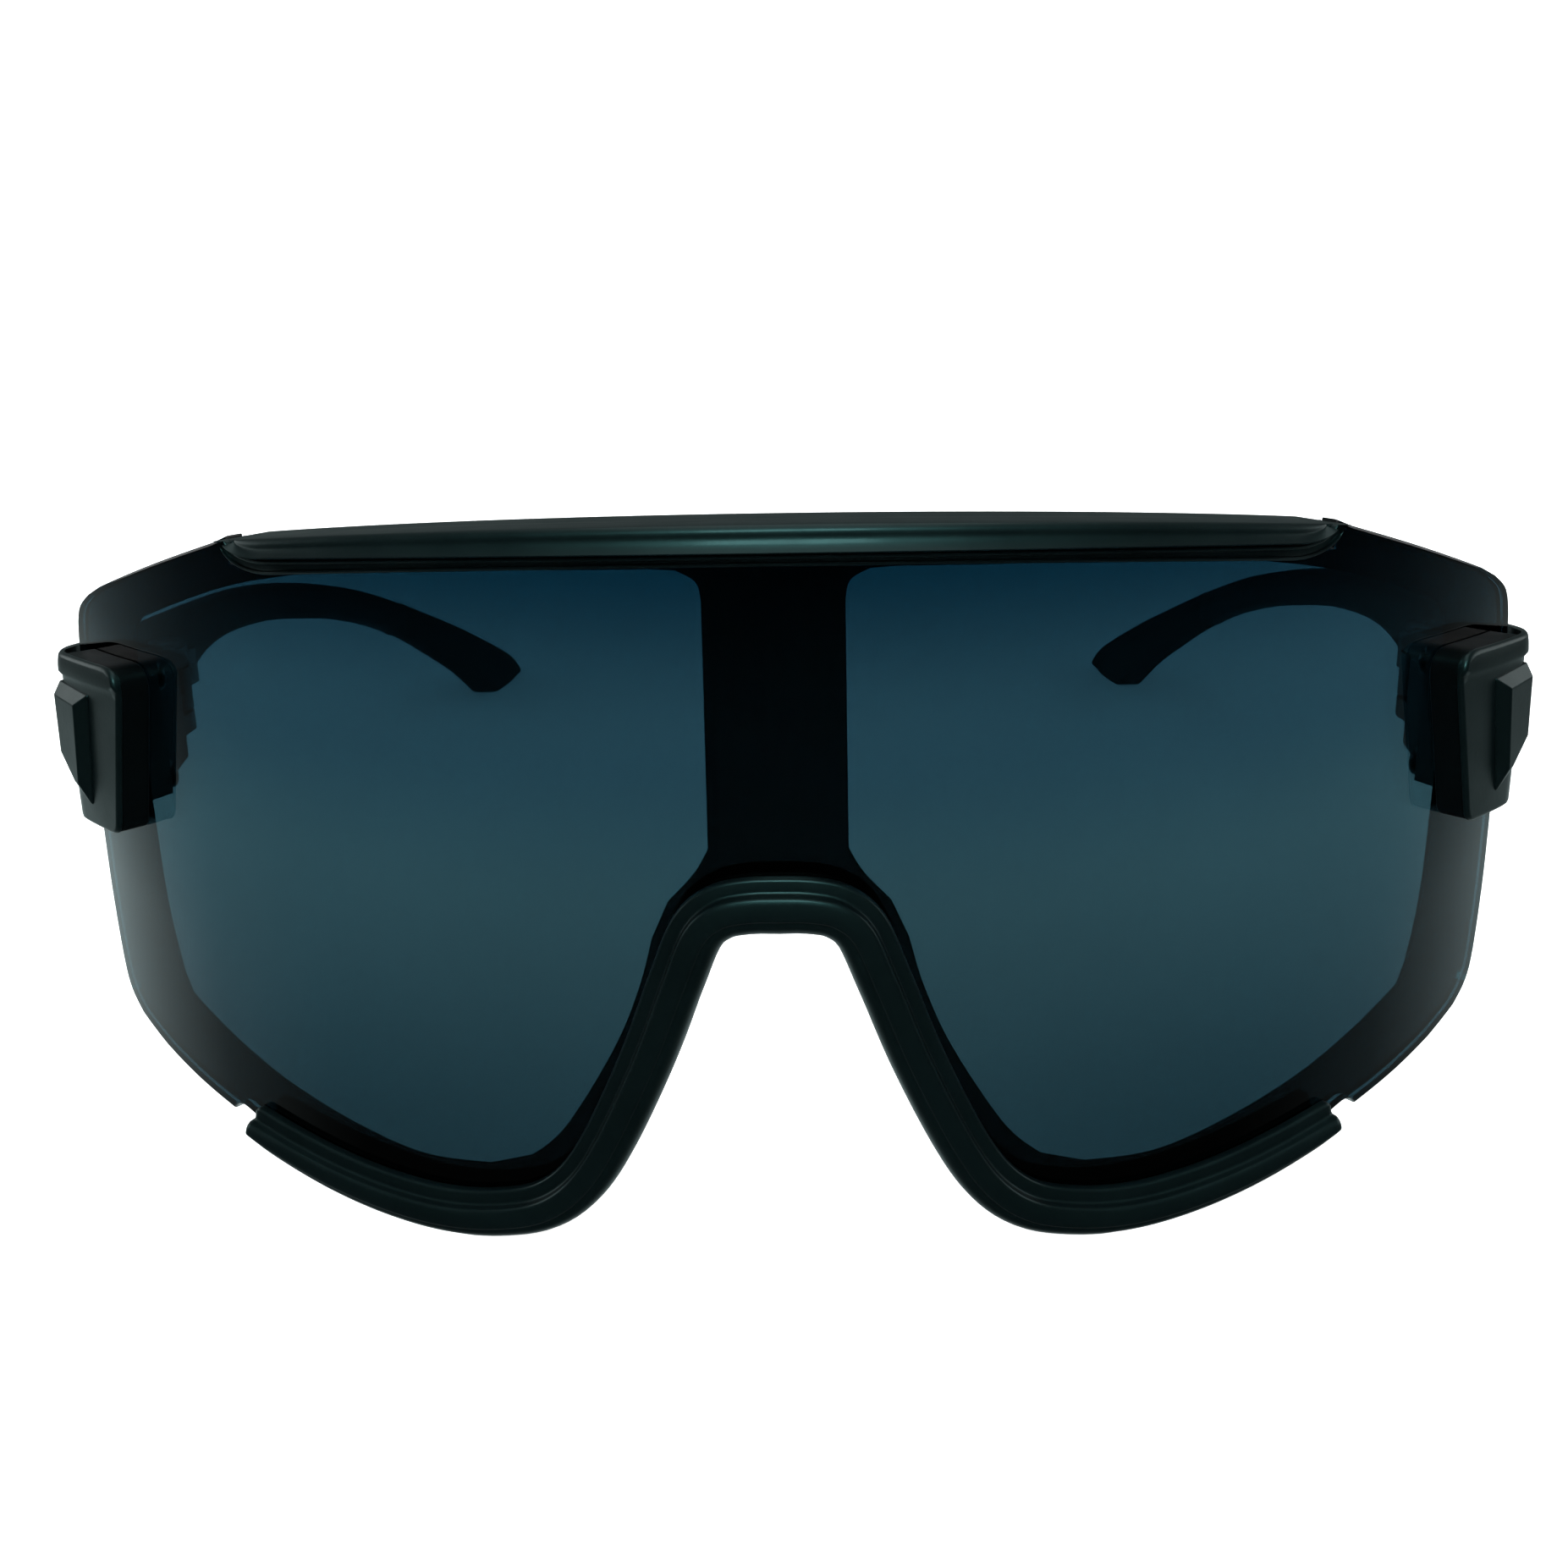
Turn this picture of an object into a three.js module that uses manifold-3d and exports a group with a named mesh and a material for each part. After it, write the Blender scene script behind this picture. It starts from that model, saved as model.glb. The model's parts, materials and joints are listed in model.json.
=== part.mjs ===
// Wraparound sport sunglasses with a one-piece shield lens, in millimetres.
// The wearing frame has +X to the wearer's left, +Y back towards the ears and +Z up, with its
// origin at the middle of the lens's front face. At the end the whole pair is tilted and
// lifted to stand on its rim and temple ends, with z = 0 on the table.
import * as THREE from "three";
import { mergeVertices } from "three/addons/utils/BufferGeometryUtils.js";
import Module from "manifold-3d";

const wasm = await Module();
wasm.setup();

// ---- driving dimensions ----
const LENS_R = 92; // radius of the lens's front face, a vertical cylinder
const LENS_T = 2;
const MASK_T = 0.7;
const GAP = 0.3; // clearance between neighbouring pieces
const MASK_DEPTH = LENS_T + GAP; // depths are measured inwards from the lens's front face
const BEHIND_MASK = MASK_DEPTH + MASK_T + GAP;
const CURVE_STEP = 6; // longest facet along the lens's curve
const EDGE_STEP = 7; // longest straight piece of an outline

const BROW_TOP = 23.8; // height of the brow's top edge at the middle
const BROW_FALL = 0.0011; // fall of the brow's top edge per square millimetre from the middle
const BROW_COVER_T = 0.8; // thickness of the cover's top flange
const BROW_WEB = 0.8; // thickness of the channel's web over the lens's edge
const BROW_FRONT = 3.2; // how far the brow stands in front of the lens
const BROW_FLANGE_DEPTH = 1.6; // how far the cover's top flange reaches back
const CHANNEL_FRONT = 1.3;
const BACK_LIP = 1.3; // thickness of the lips behind the lens
const BROW_END = 48.7; // where the brow ends, along the lens's curve

const RIM_LIP_FRONT = 1;
const RIM_BEAD_FRONT = 2.3;

const BLOCK_TOP = 8.4;
const BLOCK_BOTTOM = -8.2;
const BLOCK_LEAN = -0.26; // how far the block's front edge moves outwards per millimetre up
const CLAMP_FRONT = 2.1;
const CLAMP_END = 75.5; // where the clamp ends, along the lens's curve
const COVER_FRONT = 3.3;
const BADGE_FRONT = 4.4;
const BLOCK_END_Y = 42.3;
const BLOCK_OUTER_X = 71.9;
const SKIRT_T = 1.5;

const HINGE_X = 64.8;
const HINGE_Y = 42.7;
const HINGE_Z = 1;
const KNUCKLE_R = 2;
const KNUCKLE_HALF = 2.2;
const EAR_T = 2;
const PIN_R = 0.8;
const SCREW_R = 0.7;
const SCREW_HEAD_R = 1.5;
const SCREW_S = 73.2;
const SCREW_Z = [5, -5];

const TEMPLE_Y = 43; // where the temple starts
const TEMPLE_END_Y = 144.5;
const SLEEVE_Y = 112; // where the soft sleeve starts
const ROOT_THICKNESS = 4.6;
const ARM_THICKNESS = 3.4;

const RIM_FOOT = { y: 1.8, z: -40.5 }; // two points of the table's plane, side view
const TIP_FOOT = { y: 140, z: -22.5 };
const REST_TILT = Math.atan2(TIP_FOOT.z - RIM_FOOT.z, TIP_FOOT.y - RIM_FOOT.y);

// ---- looks ----
const plastic = (color, roughness) =>
  new THREE.MeshStandardMaterial({ color, roughness, metalness: 0 });
const SATIN = plastic(0x1a2221, 0.42);
const BLACK = plastic(0x07090a, 0.22);
const RUBBER = plastic(0x101314, 0.75);
const STEEL = new THREE.MeshStandardMaterial({ color: 0x8c9294, roughness: 0.3, metalness: 1 });
const TINT = new THREE.MeshStandardMaterial({
  color: 0x1c4352,
  roughness: 0.06,
  transparent: true,
  opacity: 0.6,
});

// ---- solids ----
function solid(geometry) {
  const bare = geometry.clone();
  bare.deleteAttribute("normal");
  bare.deleteAttribute("uv");
  const merged = mergeVertices(bare, 1e-4);
  return new wasm.Manifold(
    new wasm.Mesh({
      numProp: 3,
      vertProperties: new Float32Array(merged.attributes.position.array),
      triVerts: new Uint32Array(merged.index.array),
    }),
  );
}

function geometryOf(body) {
  const mesh = body.getMesh();
  const geometry = new THREE.BufferGeometry();
  geometry.setAttribute("position", new THREE.BufferAttribute(mesh.vertProperties, 3));
  geometry.setIndex(new THREE.BufferAttribute(mesh.triVerts, 1));
  geometry.computeVertexNormals();
  return geometry;
}

const cut = (body, ...cutters) => cutters.reduce((left, cutter) => left.subtract(cutter), body);
const join = (...bodies) => bodies.reduce((all, body) => all.add(body));

// ---- curves and outlines ----
const smooth = (points, pieces) =>
  new THREE.SplineCurve(points.map(([a, b]) => new THREE.Vector2(a, b)))
    .getPoints(pieces)
    .map((p) => [p.x, p.y]);

// A smooth function through knots [x, value].
function through(knots) {
  const slope = (i) => {
    const a = knots[Math.max(i - 1, 0)];
    const b = knots[Math.min(i + 1, knots.length - 1)];
    return (b[1] - a[1]) / (b[0] - a[0]);
  };
  return (x) => {
    let i = knots.findIndex((knot) => knot[0] > x) - 1;
    if (i === -2) i = knots.length - 2;
    i = Math.max(i, 0);
    const width = knots[i + 1][0] - knots[i][0];
    const t = (x - knots[i][0]) / width;
    const rise = knots[i + 1][1] - knots[i][1];
    return (
      knots[i][1] +
      t * t * (3 - 2 * t) * rise +
      (t - 2 * t * t + t ** 3) * width * slope(i) +
      (t ** 3 - t * t) * width * slope(i + 1)
    );
  };
}

// A half outline, from the top middle round to the bottom middle, made whole.
const mirrored = (half) => [
  ...half,
  ...half
    .slice(1, -1)
    .reverse()
    .map(([s, z]) => [-s, z]),
];

function stepped(outline) {
  const fine = [];
  outline.forEach(([s, z], i) => {
    const [nextS, nextZ] = outline[(i + 1) % outline.length];
    const pieces = Math.max(1, Math.ceil(Math.hypot(nextS - s, nextZ - z) / EDGE_STEP));
    for (let k = 0; k < pieces; k += 1)
      fine.push([s + ((nextS - s) * k) / pieces, z + ((nextZ - z) * k) / pieces]);
  });
  return fine;
}

// The outline moved outwards (or inwards, when negative) by a distance.
function grown(outline, distance) {
  const area = outline.reduce((sum, [s, z], i) => {
    const [nextS, nextZ] = outline[(i + 1) % outline.length];
    return sum + s * nextZ - nextS * z;
  }, 0);
  const side = Math.sign(area);
  return outline.map(([s, z], i) => {
    const [beforeS, beforeZ] = outline[(i + outline.length - 1) % outline.length];
    const [afterS, afterZ] = outline[(i + 1) % outline.length];
    const a = new THREE.Vector2(s - beforeS, z - beforeZ).normalize();
    const b = new THREE.Vector2(afterS - s, afterZ - z).normalize();
    const along = a.add(b).normalize();
    return [s + side * distance * along.y, z - side * distance * along.x];
  });
}

// ---- the lens's curve: s runs along the front face, depth inwards, z up ----
const onLens = (s, depth, z) =>
  new THREE.Vector3(
    (LENS_R - depth) * Math.sin(s / LENS_R),
    LENS_R - (LENS_R - depth) * Math.cos(s / LENS_R),
    z,
  );

function bent(geometry) {
  const position = geometry.attributes.position;
  for (let i = 0; i < position.count; i += 1) {
    const p = onLens(position.getX(i), position.getY(i), position.getZ(i));
    position.setXYZ(i, p.x, p.y, p.z);
  }
  return geometry;
}

// A cutter that passes straight through the lens with this outline of [s, z]. Its layers keep
// the ruled walls true; one layer holds every plate of the front.
const CUTTER = { outer: -108, inner: 72, layers: 9 };

function radialPrism(outline) {
  const shape = new THREE.Shape(stepped(outline).map(([s, z]) => new THREE.Vector2(s, z)));
  const geometry = new THREE.ExtrudeGeometry(shape, {
    depth: CUTTER.inner - CUTTER.outer,
    steps: CUTTER.layers,
    bevelEnabled: false,
  });
  geometry.translate(0, 0, -CUTTER.inner).rotateX(Math.PI / 2);
  return solid(bent(geometry));
}

const SLAB_HEIGHT = 120; // taller than anything on the front

function bentSlab(front, back, sides) {
  const [low, high] = sides;
  const pieces = Math.ceil((high - low) / CURVE_STEP);
  const geometry = new THREE.BoxGeometry(high - low, back - front, SLAB_HEIGHT, pieces, 1, 1);
  geometry.translate((low + high) / 2, (front + back) / 2, 0);
  return solid(bent(geometry));
}

// A plate that follows the lens, between two depths, with this outline.
function plate(outline, front, back) {
  const reach = outline.map(([s]) => s);
  const sides = [Math.min(...reach) - 1, Math.max(...reach) + 1];
  return bentSlab(front, back, sides).intersect(radialPrism(outline));
}

// A shape built round the origin, with +Y inwards, set on the lens at (s, depth, z).
function setOnLens(geometry, s, depth, z) {
  const p = onLens(s, depth, z);
  return geometry.rotateZ(s / LENS_R).translate(p.x, p.y, p.z);
}

// A vertical prism over a plan outline of [x, y].
function upright(plan, low, high, hole) {
  const shape = new THREE.Shape(plan.map(([x, y]) => new THREE.Vector2(x, y)));
  if (hole) {
    const path = new THREE.Path();
    path.absarc(hole.x, hole.y, hole.r, 0, 2 * Math.PI, true);
    shape.holes.push(path);
  }
  const geometry = new THREE.ExtrudeGeometry(shape, {
    depth: high - low,
    bevelEnabled: false,
    curveSegments: 12,
  });
  return solid(geometry.translate(0, 0, low));
}

// A closed body through rings of points, each ring running the same way round.
function loft(rings) {
  const sides = rings[0].length;
  const points = rings.flat().map((p) => [p.x, p.y, p.z]);
  const index = [];
  for (let i = 0; i + 1 < rings.length; i += 1)
    for (let k = 0; k < sides; k += 1) {
      const a = i * sides + k;
      const b = i * sides + ((k + 1) % sides);
      index.push(a, b, b + sides, a, b + sides, a + sides);
    }
  const last = (rings.length - 1) * sides;
  for (let k = 1; k + 1 < sides; k += 1) {
    index.push(0, k + 1, k);
    index.push(last, last + k, last + k + 1);
  }
  const geometry = new THREE.BufferGeometry();
  geometry.setAttribute("position", new THREE.Float32BufferAttribute(points.flat(), 3));
  geometry.setIndex(index);
  return geometry;
}

// ---- outlines, right half from the top middle, [s, z] ----
const browTop = (s) => BROW_TOP - BROW_FALL * s * s;
const browTopEdge = (end, drop) =>
  [0, 0.25, 0.5, 0.75, 1].map((t) => [t * end, browTop(t * end) - drop]);
const channelTopDrop = BROW_COVER_T + GAP;
const lensTopDrop = channelTopDrop + BROW_WEB + GAP;

const LENS_OUTLINE = mirrored([
  ...browTopEdge(BROW_END + GAP, lensTopDrop),
  [BROW_END + 2 * GAP, 21.3],
  ...smooth([[51.2, 20.6], [60, 18.1], [71.5, 14.7]], 3),
  ...smooth([[74.5, 13.6], [77.4, 11.9], [78.7, 9], [79, 5]], 5),
  ...smooth([[79.5, -12], [79.5, -18], [78.8, -25.2], [77.6, -28.3], [75, -30.3]], 7),
  ...smooth([[70, -32.1], [64, -33.8], [58, -35.3]], 3),
  [57.4, -34.7],
  [55.3, -34.8],
  ...smooth([[52.5, -35.9], [43, -37.9], [35.5, -38.9], [29, -39], [24.3, -37.9]], 8),
  ...smooth([[20.1, -35.6], [16.8, -31.8], [13.7, -26.6], [11.1, -20.8], [8.8, -15.6]], 6),
  ...smooth([[7.2, -11.7], [5.4, -9.2], [2.8, -8.2], [0, -8.1]], 5),
]);

const WINDOW = [
  ...smooth([[5.8, 17.3], [6.2, 18.8], [7.8, 19.7]], 4),
  ...smooth([[10, 19.8], [27, 19.4], [36.8, 18.9], [44.3, 18], [53, 16.2], [66.2, 11.8]], 8),
  ...smooth([[67.4, 9], [68.3, 0], [68.1, -12], [67.5, -18], [66.1, -23.3], [62.7, -26.2]], 8),
  ...smooth([[58, -28.2], [51, -30.8], [42, -33.3], [34.5, -34.7], [27.5, -34.4]], 7),
  ...smooth([[23.2, -33], [19.8, -29.8], [15, -22.1], [12.4, -16.2], [11, -11.4]], 7),
  ...smooth([[9.5, -8.1], [7.2, -5.6], [5.9, -3.4]], 4),
];

const RIM_OUTER = [
  [52.8, -36.1],
  ...smooth([[51.8, -36.9], [42.2, -39.2], [35, -40.3], [29.3, -40.6], [24.4, -39.9]], 8),
  ...smooth([[21, -38.5], [17.9, -36.3], [15.2, -33.2], [12.1, -28], [8.7, -20.8]], 7),
  ...smooth([[6.7, -16], [5.5, -13], [4.3, -11], [2.3, -10.1], [0, -10]], 6),
];
const RIM_RIDGE = [
  [0, -6.4],
  ...smooth([[2.6, -6.5], [5.3, -7.2], [7.6, -9.3], [9.6, -14.1], [12.3, -21.2]], 7),
  ...smooth([[15.7, -28.6], [18.4, -33], [21.4, -35.6], [25.2, -36.9], [30, -37.6]], 7),
  ...smooth([[35.5, -37.5], [42.8, -36.6], [52.8, -34.7]], 5),
];
const RIM_LIP = [
  [0, -5.4],
  ...smooth([[2.8, -5.5], [6, -6.4], [8.7, -8.9], [10.9, -13.7], [13.5, -20.7]], 7),
  ...smooth([[16.9, -28.1], [19.5, -32.2], [22.3, -34.5], [25.6, -35.7], [30, -36.3]], 7),
  ...smooth([[35.3, -36.2], [42.5, -35.3], [50.5, -33.8], [52.8, -34.3]], 5),
];

const CHANNEL_LOWER = [
  ...smooth([[47.8, 19.8], [46, 18.9], [43.4, 18.5], [40, 18.8]], 6),
  ...smooth([[32, 19.5], [16, 20.2], [0, 20.4]], 6),
];
const COVER_LOWER = [
  ...smooth([[44.7, 20.8], [43.6, 20.1], [42, 20], [38.6, 20.5]], 5),
  ...smooth([[30, 21], [16, 21.5], [0, 21.7]], 6),
];

// ---- the front ----
const lensClearance = plate(
  grown(stepped(LENS_OUTLINE), GAP),
  -GAP,
  BEHIND_MASK,
);

const screwHole = (s, z, r) =>
  solid(setOnLens(new THREE.CylinderGeometry(r, r, 40, 12), s, 0, z));

const SIDES = { left: 1, right: -1 };
const screwHoles = Object.values(SIDES).flatMap((side) =>
  SCREW_Z.map((z) => screwHole(side * SCREW_S, z, SCREW_R + GAP)),
);

function lensShield() {
  return cut(plate(LENS_OUTLINE, 0, LENS_T), ...screwHoles);
}

function lensBorderMask() {
  const sheet = plate(grown(LENS_OUTLINE, -0.5), MASK_DEPTH, MASK_DEPTH + MASK_T);
  const windows = [WINDOW, WINDOW.map(([s, z]) => [-s, z])].map(radialPrism);
  return cut(sheet, ...windows, ...screwHoles);
}

function browChannelOutline() {
  return mirrored([...browTopEdge(BROW_END, channelTopDrop), ...CHANNEL_LOWER]);
}

function browChannel() {
  const bar = plate(browChannelOutline(), -CHANNEL_FRONT, BEHIND_MASK + BACK_LIP);
  return cut(bar, lensClearance);
}

function browCover() {
  const outline = mirrored([...browTopEdge(45.9, 0), ...COVER_LOWER]);
  const bar = plate(outline, -BROW_FRONT, BROW_FLANGE_DEPTH);
  const room = plate(grown(browChannelOutline(), GAP), -CHANNEL_FRONT - GAP, 12);
  return cut(bar, room);
}

function lowerRim() {
  const lip = plate(mirrored([...RIM_LIP, ...RIM_OUTER]), -RIM_LIP_FRONT, BEHIND_MASK + BACK_LIP);
  const bead = plate(mirrored([...RIM_RIDGE, ...RIM_OUTER]), -RIM_BEAD_FRONT, -RIM_LIP_FRONT + 0.2);
  return cut(join(lip, bead), lensClearance, belowTable());
}

function noseBracket() {
  const outer = smooth([[0, -6.8], [4.5, -7.6], [7.4, -10.5], [10.2, -17], [13.2, -24]], 10);
  const inner = smooth([[10.8, -24.6], [7.7, -17.6], [5.4, -12.4], [3.4, -10.4], [0, -9.8]], 10);
  const front = BEHIND_MASK + BACK_LIP + GAP;
  return plate(mirrored([...outer, ...inner]), front, front + 1.6);
}

function nosePad(side) {
  const rings = [];
  const pieces = 10;
  for (let i = 0; i <= pieces; i += 1) {
    const t = -1 + (2 * i) / pieces;
    const swell = Math.sqrt(Math.max(1 - 0.92 * t * t, 0));
    const ring = [];
    for (let k = 0; k < 12; k += 1) {
      const angle = (side * 2 * Math.PI * k) / 12;
      ring.push(
        new THREE.Vector3(
          side * (9.9 - 3 * t) + side * 1.7 * swell * Math.cos(angle),
          10.2 + 3.1 * swell * Math.sin(angle),
          -17.4 + 6.8 * t,
        ),
      );
    }
    rings.push(ring);
  }
  return solid(loft(rings));
}

function belowTable() {
  const box = new THREE.BoxGeometry(300, 400, 40);
  box.translate(0, 0, -20).rotateX(REST_TILT).translate(0, RIM_FOOT.y, RIM_FOOT.z);
  return solid(box);
}

// ---- the side blocks, drawn for the left side (+X) ----
const blockEdge = (z) => 64.9 + BLOCK_LEAN * z;
const blockOutline = (front, inset) => [
  [blockEdge(BLOCK_TOP - inset - 2.6) + front, BLOCK_TOP - inset - 2.6],
  [blockEdge(BLOCK_TOP - inset) + front + 0.7, BLOCK_TOP - inset - 0.7],
  [blockEdge(BLOCK_TOP - inset) + front + 2.6, BLOCK_TOP - inset],
  [75, BLOCK_TOP - inset],
  [79, BLOCK_TOP - inset - 0.8],
  [100, BLOCK_TOP - inset - 2.2],
  [100, BLOCK_BOTTOM + inset + 6],
  [77, BLOCK_BOTTOM + inset],
  [blockEdge(BLOCK_BOTTOM + inset) + front + 2, BLOCK_BOTTOM + inset],
  [blockEdge(BLOCK_BOTTOM + inset) + front + 0.5, BLOCK_BOTTOM + inset + 0.6],
  [blockEdge(BLOCK_BOTTOM + inset + 2.2) + front, BLOCK_BOTTOM + inset + 2.2],
];

const planOnLens = (s, depth) => {
  const p = onLens(s, depth, 0);
  return [p.x, p.y];
};

function lensClamp() {
  const pad = plate(
    blockOutline(0, 0).map(([s, z]) => [Math.min(s, CLAMP_END), z]),
    -CLAMP_FRONT,
    -GAP,
  );
  return cut(pad, ...screwHoles);
}

function endCover() {
  const plan = [
    planOnLens(60, -COVER_FRONT),
    planOnLens(66, -COVER_FRONT),
    planOnLens(70, -COVER_FRONT),
    planOnLens(74.5, -COVER_FRONT),
    [70.5, 30],
    [BLOCK_OUTER_X - 0.5, 33],
    [BLOCK_OUTER_X, 37],
    [BLOCK_OUTER_X, BLOCK_END_Y],
    [BLOCK_OUTER_X - SKIRT_T, BLOCK_END_Y],
    [BLOCK_OUTER_X - SKIRT_T, 34.2],
    planOnLens(79.4, 1),
    planOnLens(75.6, -CLAMP_FRONT - GAP),
    planOnLens(72, -CLAMP_FRONT - GAP),
    planOnLens(66, -CLAMP_FRONT - GAP),
    planOnLens(60, -CLAMP_FRONT - GAP),
  ];
  const shell = upright(plan, -12, 12).intersect(radialPrism(blockOutline(0.2, 0)));
  const blindHoles = SCREW_Z.map((z) =>
    solid(
      setOnLens(
        new THREE.CylinderGeometry(SCREW_R + GAP, SCREW_R + GAP, 12, 12).translate(0, 6, 0),
        SCREW_S,
        -COVER_FRONT + 0.6,
        z,
      ),
    ),
  );
  const pad = plate(
    blockOutline(-GAP, -GAP).map(([s, z]) => [Math.min(s, CLAMP_END + GAP), z]),
    -CLAMP_FRONT - GAP,
    4,
  );
  return cut(shell, lensClearance, pad, ...blindHoles);
}

function coverBadge() {
  const ring = (s, depth, outline) => outline.map(([ds, z]) => onLens(s + ds, depth, z));
  const base = [[-0.9, 5.2], [5.2, 5.6], [5.8, -1.5], [2.6, -5.4], [1.5, -5.9], [1.3, -5.6]];
  const top = [[0.3, 4.2], [4.6, 4.6], [5, -1.2], [2.5, -3.6], [1.8, -3.7], [1.6, -3.5]];
  const seat = -COVER_FRONT - GAP;
  return solid(loft([ring(70, -BADGE_FRONT, top), ring(70, seat, base)]));
}

function hingeBracket() {
  const back = BEHIND_MASK + 2.4;
  const inside = BLOCK_OUTER_X - SKIRT_T - GAP;
  const plan = [
    planOnLens(70, 1),
    planOnLens(73, 1),
    planOnLens(79.6, 1.2),
    [inside, 34.7],
    [inside, 40.2],
    [HINGE_X - KNUCKLE_R, 40.2],
    [HINGE_X - KNUCKLE_R, 37],
    planOnLens(77, back),
    planOnLens(73, back),
    planOnLens(71.7, back),
  ];
  const body = upright(plan, -12, 12).intersect(radialPrism(blockOutline(-4, 1.4)));
  const ears = [HINGE_Z + KNUCKLE_HALF + GAP, HINGE_Z - KNUCKLE_HALF - GAP - EAR_T].map((low) =>
    upright(knucklePlan(38.5), low, low + EAR_T, { x: HINGE_X, y: HINGE_Y, r: PIN_R + GAP }),
  );
  return join(cut(body, lensClearance, ...screwHoles), ...ears);
}

// A tongue from y to the hinge axis with a round end.
function knucklePlan(y) {
  const plan = [];
  for (let k = 0; k <= 10; k += 1) {
    const angle = (Math.PI * k) / 10;
    plan.push([HINGE_X + KNUCKLE_R * Math.cos(angle), HINGE_Y + KNUCKLE_R * Math.sin(angle)]);
  }
  plan.push([HINGE_X - KNUCKLE_R, y], [HINGE_X + KNUCKLE_R, y]);
  return plan;
}

function clampScrew(z) {
  const back = BEHIND_MASK + 2.4 + 1.2 * GAP;
  const tip = -COVER_FRONT + 0.9;
  const profile = [
    [0, tip],
    [SCREW_R, tip],
    [SCREW_R, back],
    [SCREW_HEAD_R, back],
    [SCREW_HEAD_R, back + 0.7],
    [0, back + 0.9],
  ].map(([r, y]) => new THREE.Vector2(r, y));
  return solid(setOnLens(new THREE.LatheGeometry(profile, 12), SCREW_S, 0, z));
}

function hingeScrew() {
  const top = HINGE_Z + KNUCKLE_HALF + GAP + EAR_T;
  const profile = [
    [0, HINGE_Z - KNUCKLE_HALF - EAR_T],
    [PIN_R, HINGE_Z - KNUCKLE_HALF - EAR_T],
    [PIN_R, top + GAP],
    [KNUCKLE_R - 0.3, top + GAP],
    [KNUCKLE_R - 0.3, top + GAP + 0.6],
    [0, top + GAP + 0.8],
  ].map(([r, y]) => new THREE.Vector2(r, y));
  const pin = new THREE.LatheGeometry(profile, 12).rotateX(Math.PI / 2);
  return solid(pin.translate(HINGE_X, HINGE_Y, 0));
}

// ---- the temples, drawn for the left side ----
const templeUpper = through([
  [42, 6.9],
  [50, 6.9],
  [60, 6.9],
  [70, 6.6],
  [80, 5.5],
  [90, 3.5],
  [100, 0.9],
  [110, -2.6],
  [120, -6.7],
  [130, -11.2],
  [140, -16.4],
  [143, -18.4],
  [TEMPLE_END_Y, -20.3],
]);
const templeLower = through([
  [42, -4.6],
  [46, -4],
  [50, -2.4],
  [54, -0.3],
  [58, 1.2],
  [63, 2],
  [70, 2],
  [78, 1.2],
  [86, -0.3],
  [95, -2.2],
  [105, -5.2],
  [115, -9.4],
  [124, -14.4],
  [130, -18.1],
  [134, -21.2],
  [137, -23.4],
  [140, -23.4],
  [142.5, -22.4],
  [TEMPLE_END_Y, -21.4],
]);
const templeMiddle = (y) => 69.4 - 0.03 * (y - 42) - 0.0016 * (y - 42) ** 2;
const templeThickness = through([
  [42, ROOT_THICKNESS],
  [56, ARM_THICKNESS + 0.3],
  [70, ARM_THICKNESS],
  [TEMPLE_END_Y, ARM_THICKNESS + 0.6],
]);

// Eight-sided sections with chamfered edges, shrunk all round by an inset.
function templeSections(stations, inset) {
  return stations.map((y) => {
    const half = templeThickness(y) / 2 - inset;
    const high = templeUpper(y) - inset;
    const low = templeLower(y) + inset;
    const chamfer = Math.min(0.8, half / 2, (high - low) / 3);
    const x = templeMiddle(y);
    return [
      [half, high - chamfer],
      [half, low + chamfer],
      [half - chamfer, low],
      [-half + chamfer, low],
      [-half, low + chamfer],
      [-half, high - chamfer],
      [-half + chamfer, high],
      [half - chamfer, high],
    ].map(([dx, z]) => new THREE.Vector3(x + dx, y, z));
  });
}

const stationsBetween = (from, to, step) => {
  const pieces = Math.ceil((to - from) / step);
  return Array.from({ length: pieces + 1 }, (_, i) => from + ((to - from) * i) / pieces);
};

const LEAF = { x: [66.4, 69.6], y: [43.6, 54], half: 1.9 };

function leafSlot(grow) {
  const [x0, x1] = LEAF.x;
  const [y0, y1] = LEAF.y;
  const box = new THREE.BoxGeometry(x1 - x0 + 2 * grow, y1 - y0 + 2 * grow, 2 * (LEAF.half + grow));
  return solid(box.translate((x0 + x1) / 2, (y0 + y1) / 2, HINGE_Z));
}

function temple() {
  const arm = solid(loft(templeSections(stationsBetween(TEMPLE_Y, SLEEVE_Y, 4.5), 0)));
  const tang = solid(loft(templeSections(stationsBetween(SLEEVE_Y - 2, 134, 6), 1.2)));
  return cut(join(arm, tang), leafSlot(GAP));
}

function templeSleeve() {
  const stations = [...stationsBetween(SLEEVE_Y + GAP, 134, 4), 136.4, 139, 141.5, 143.2, TEMPLE_END_Y];
  const outer = solid(loft(templeSections(stations, 0)));
  const pocket = solid(loft(templeSections(stationsBetween(SLEEVE_Y - 2, 134.4, 6), 0.9)));
  return cut(outer, pocket, belowTable());
}

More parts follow.
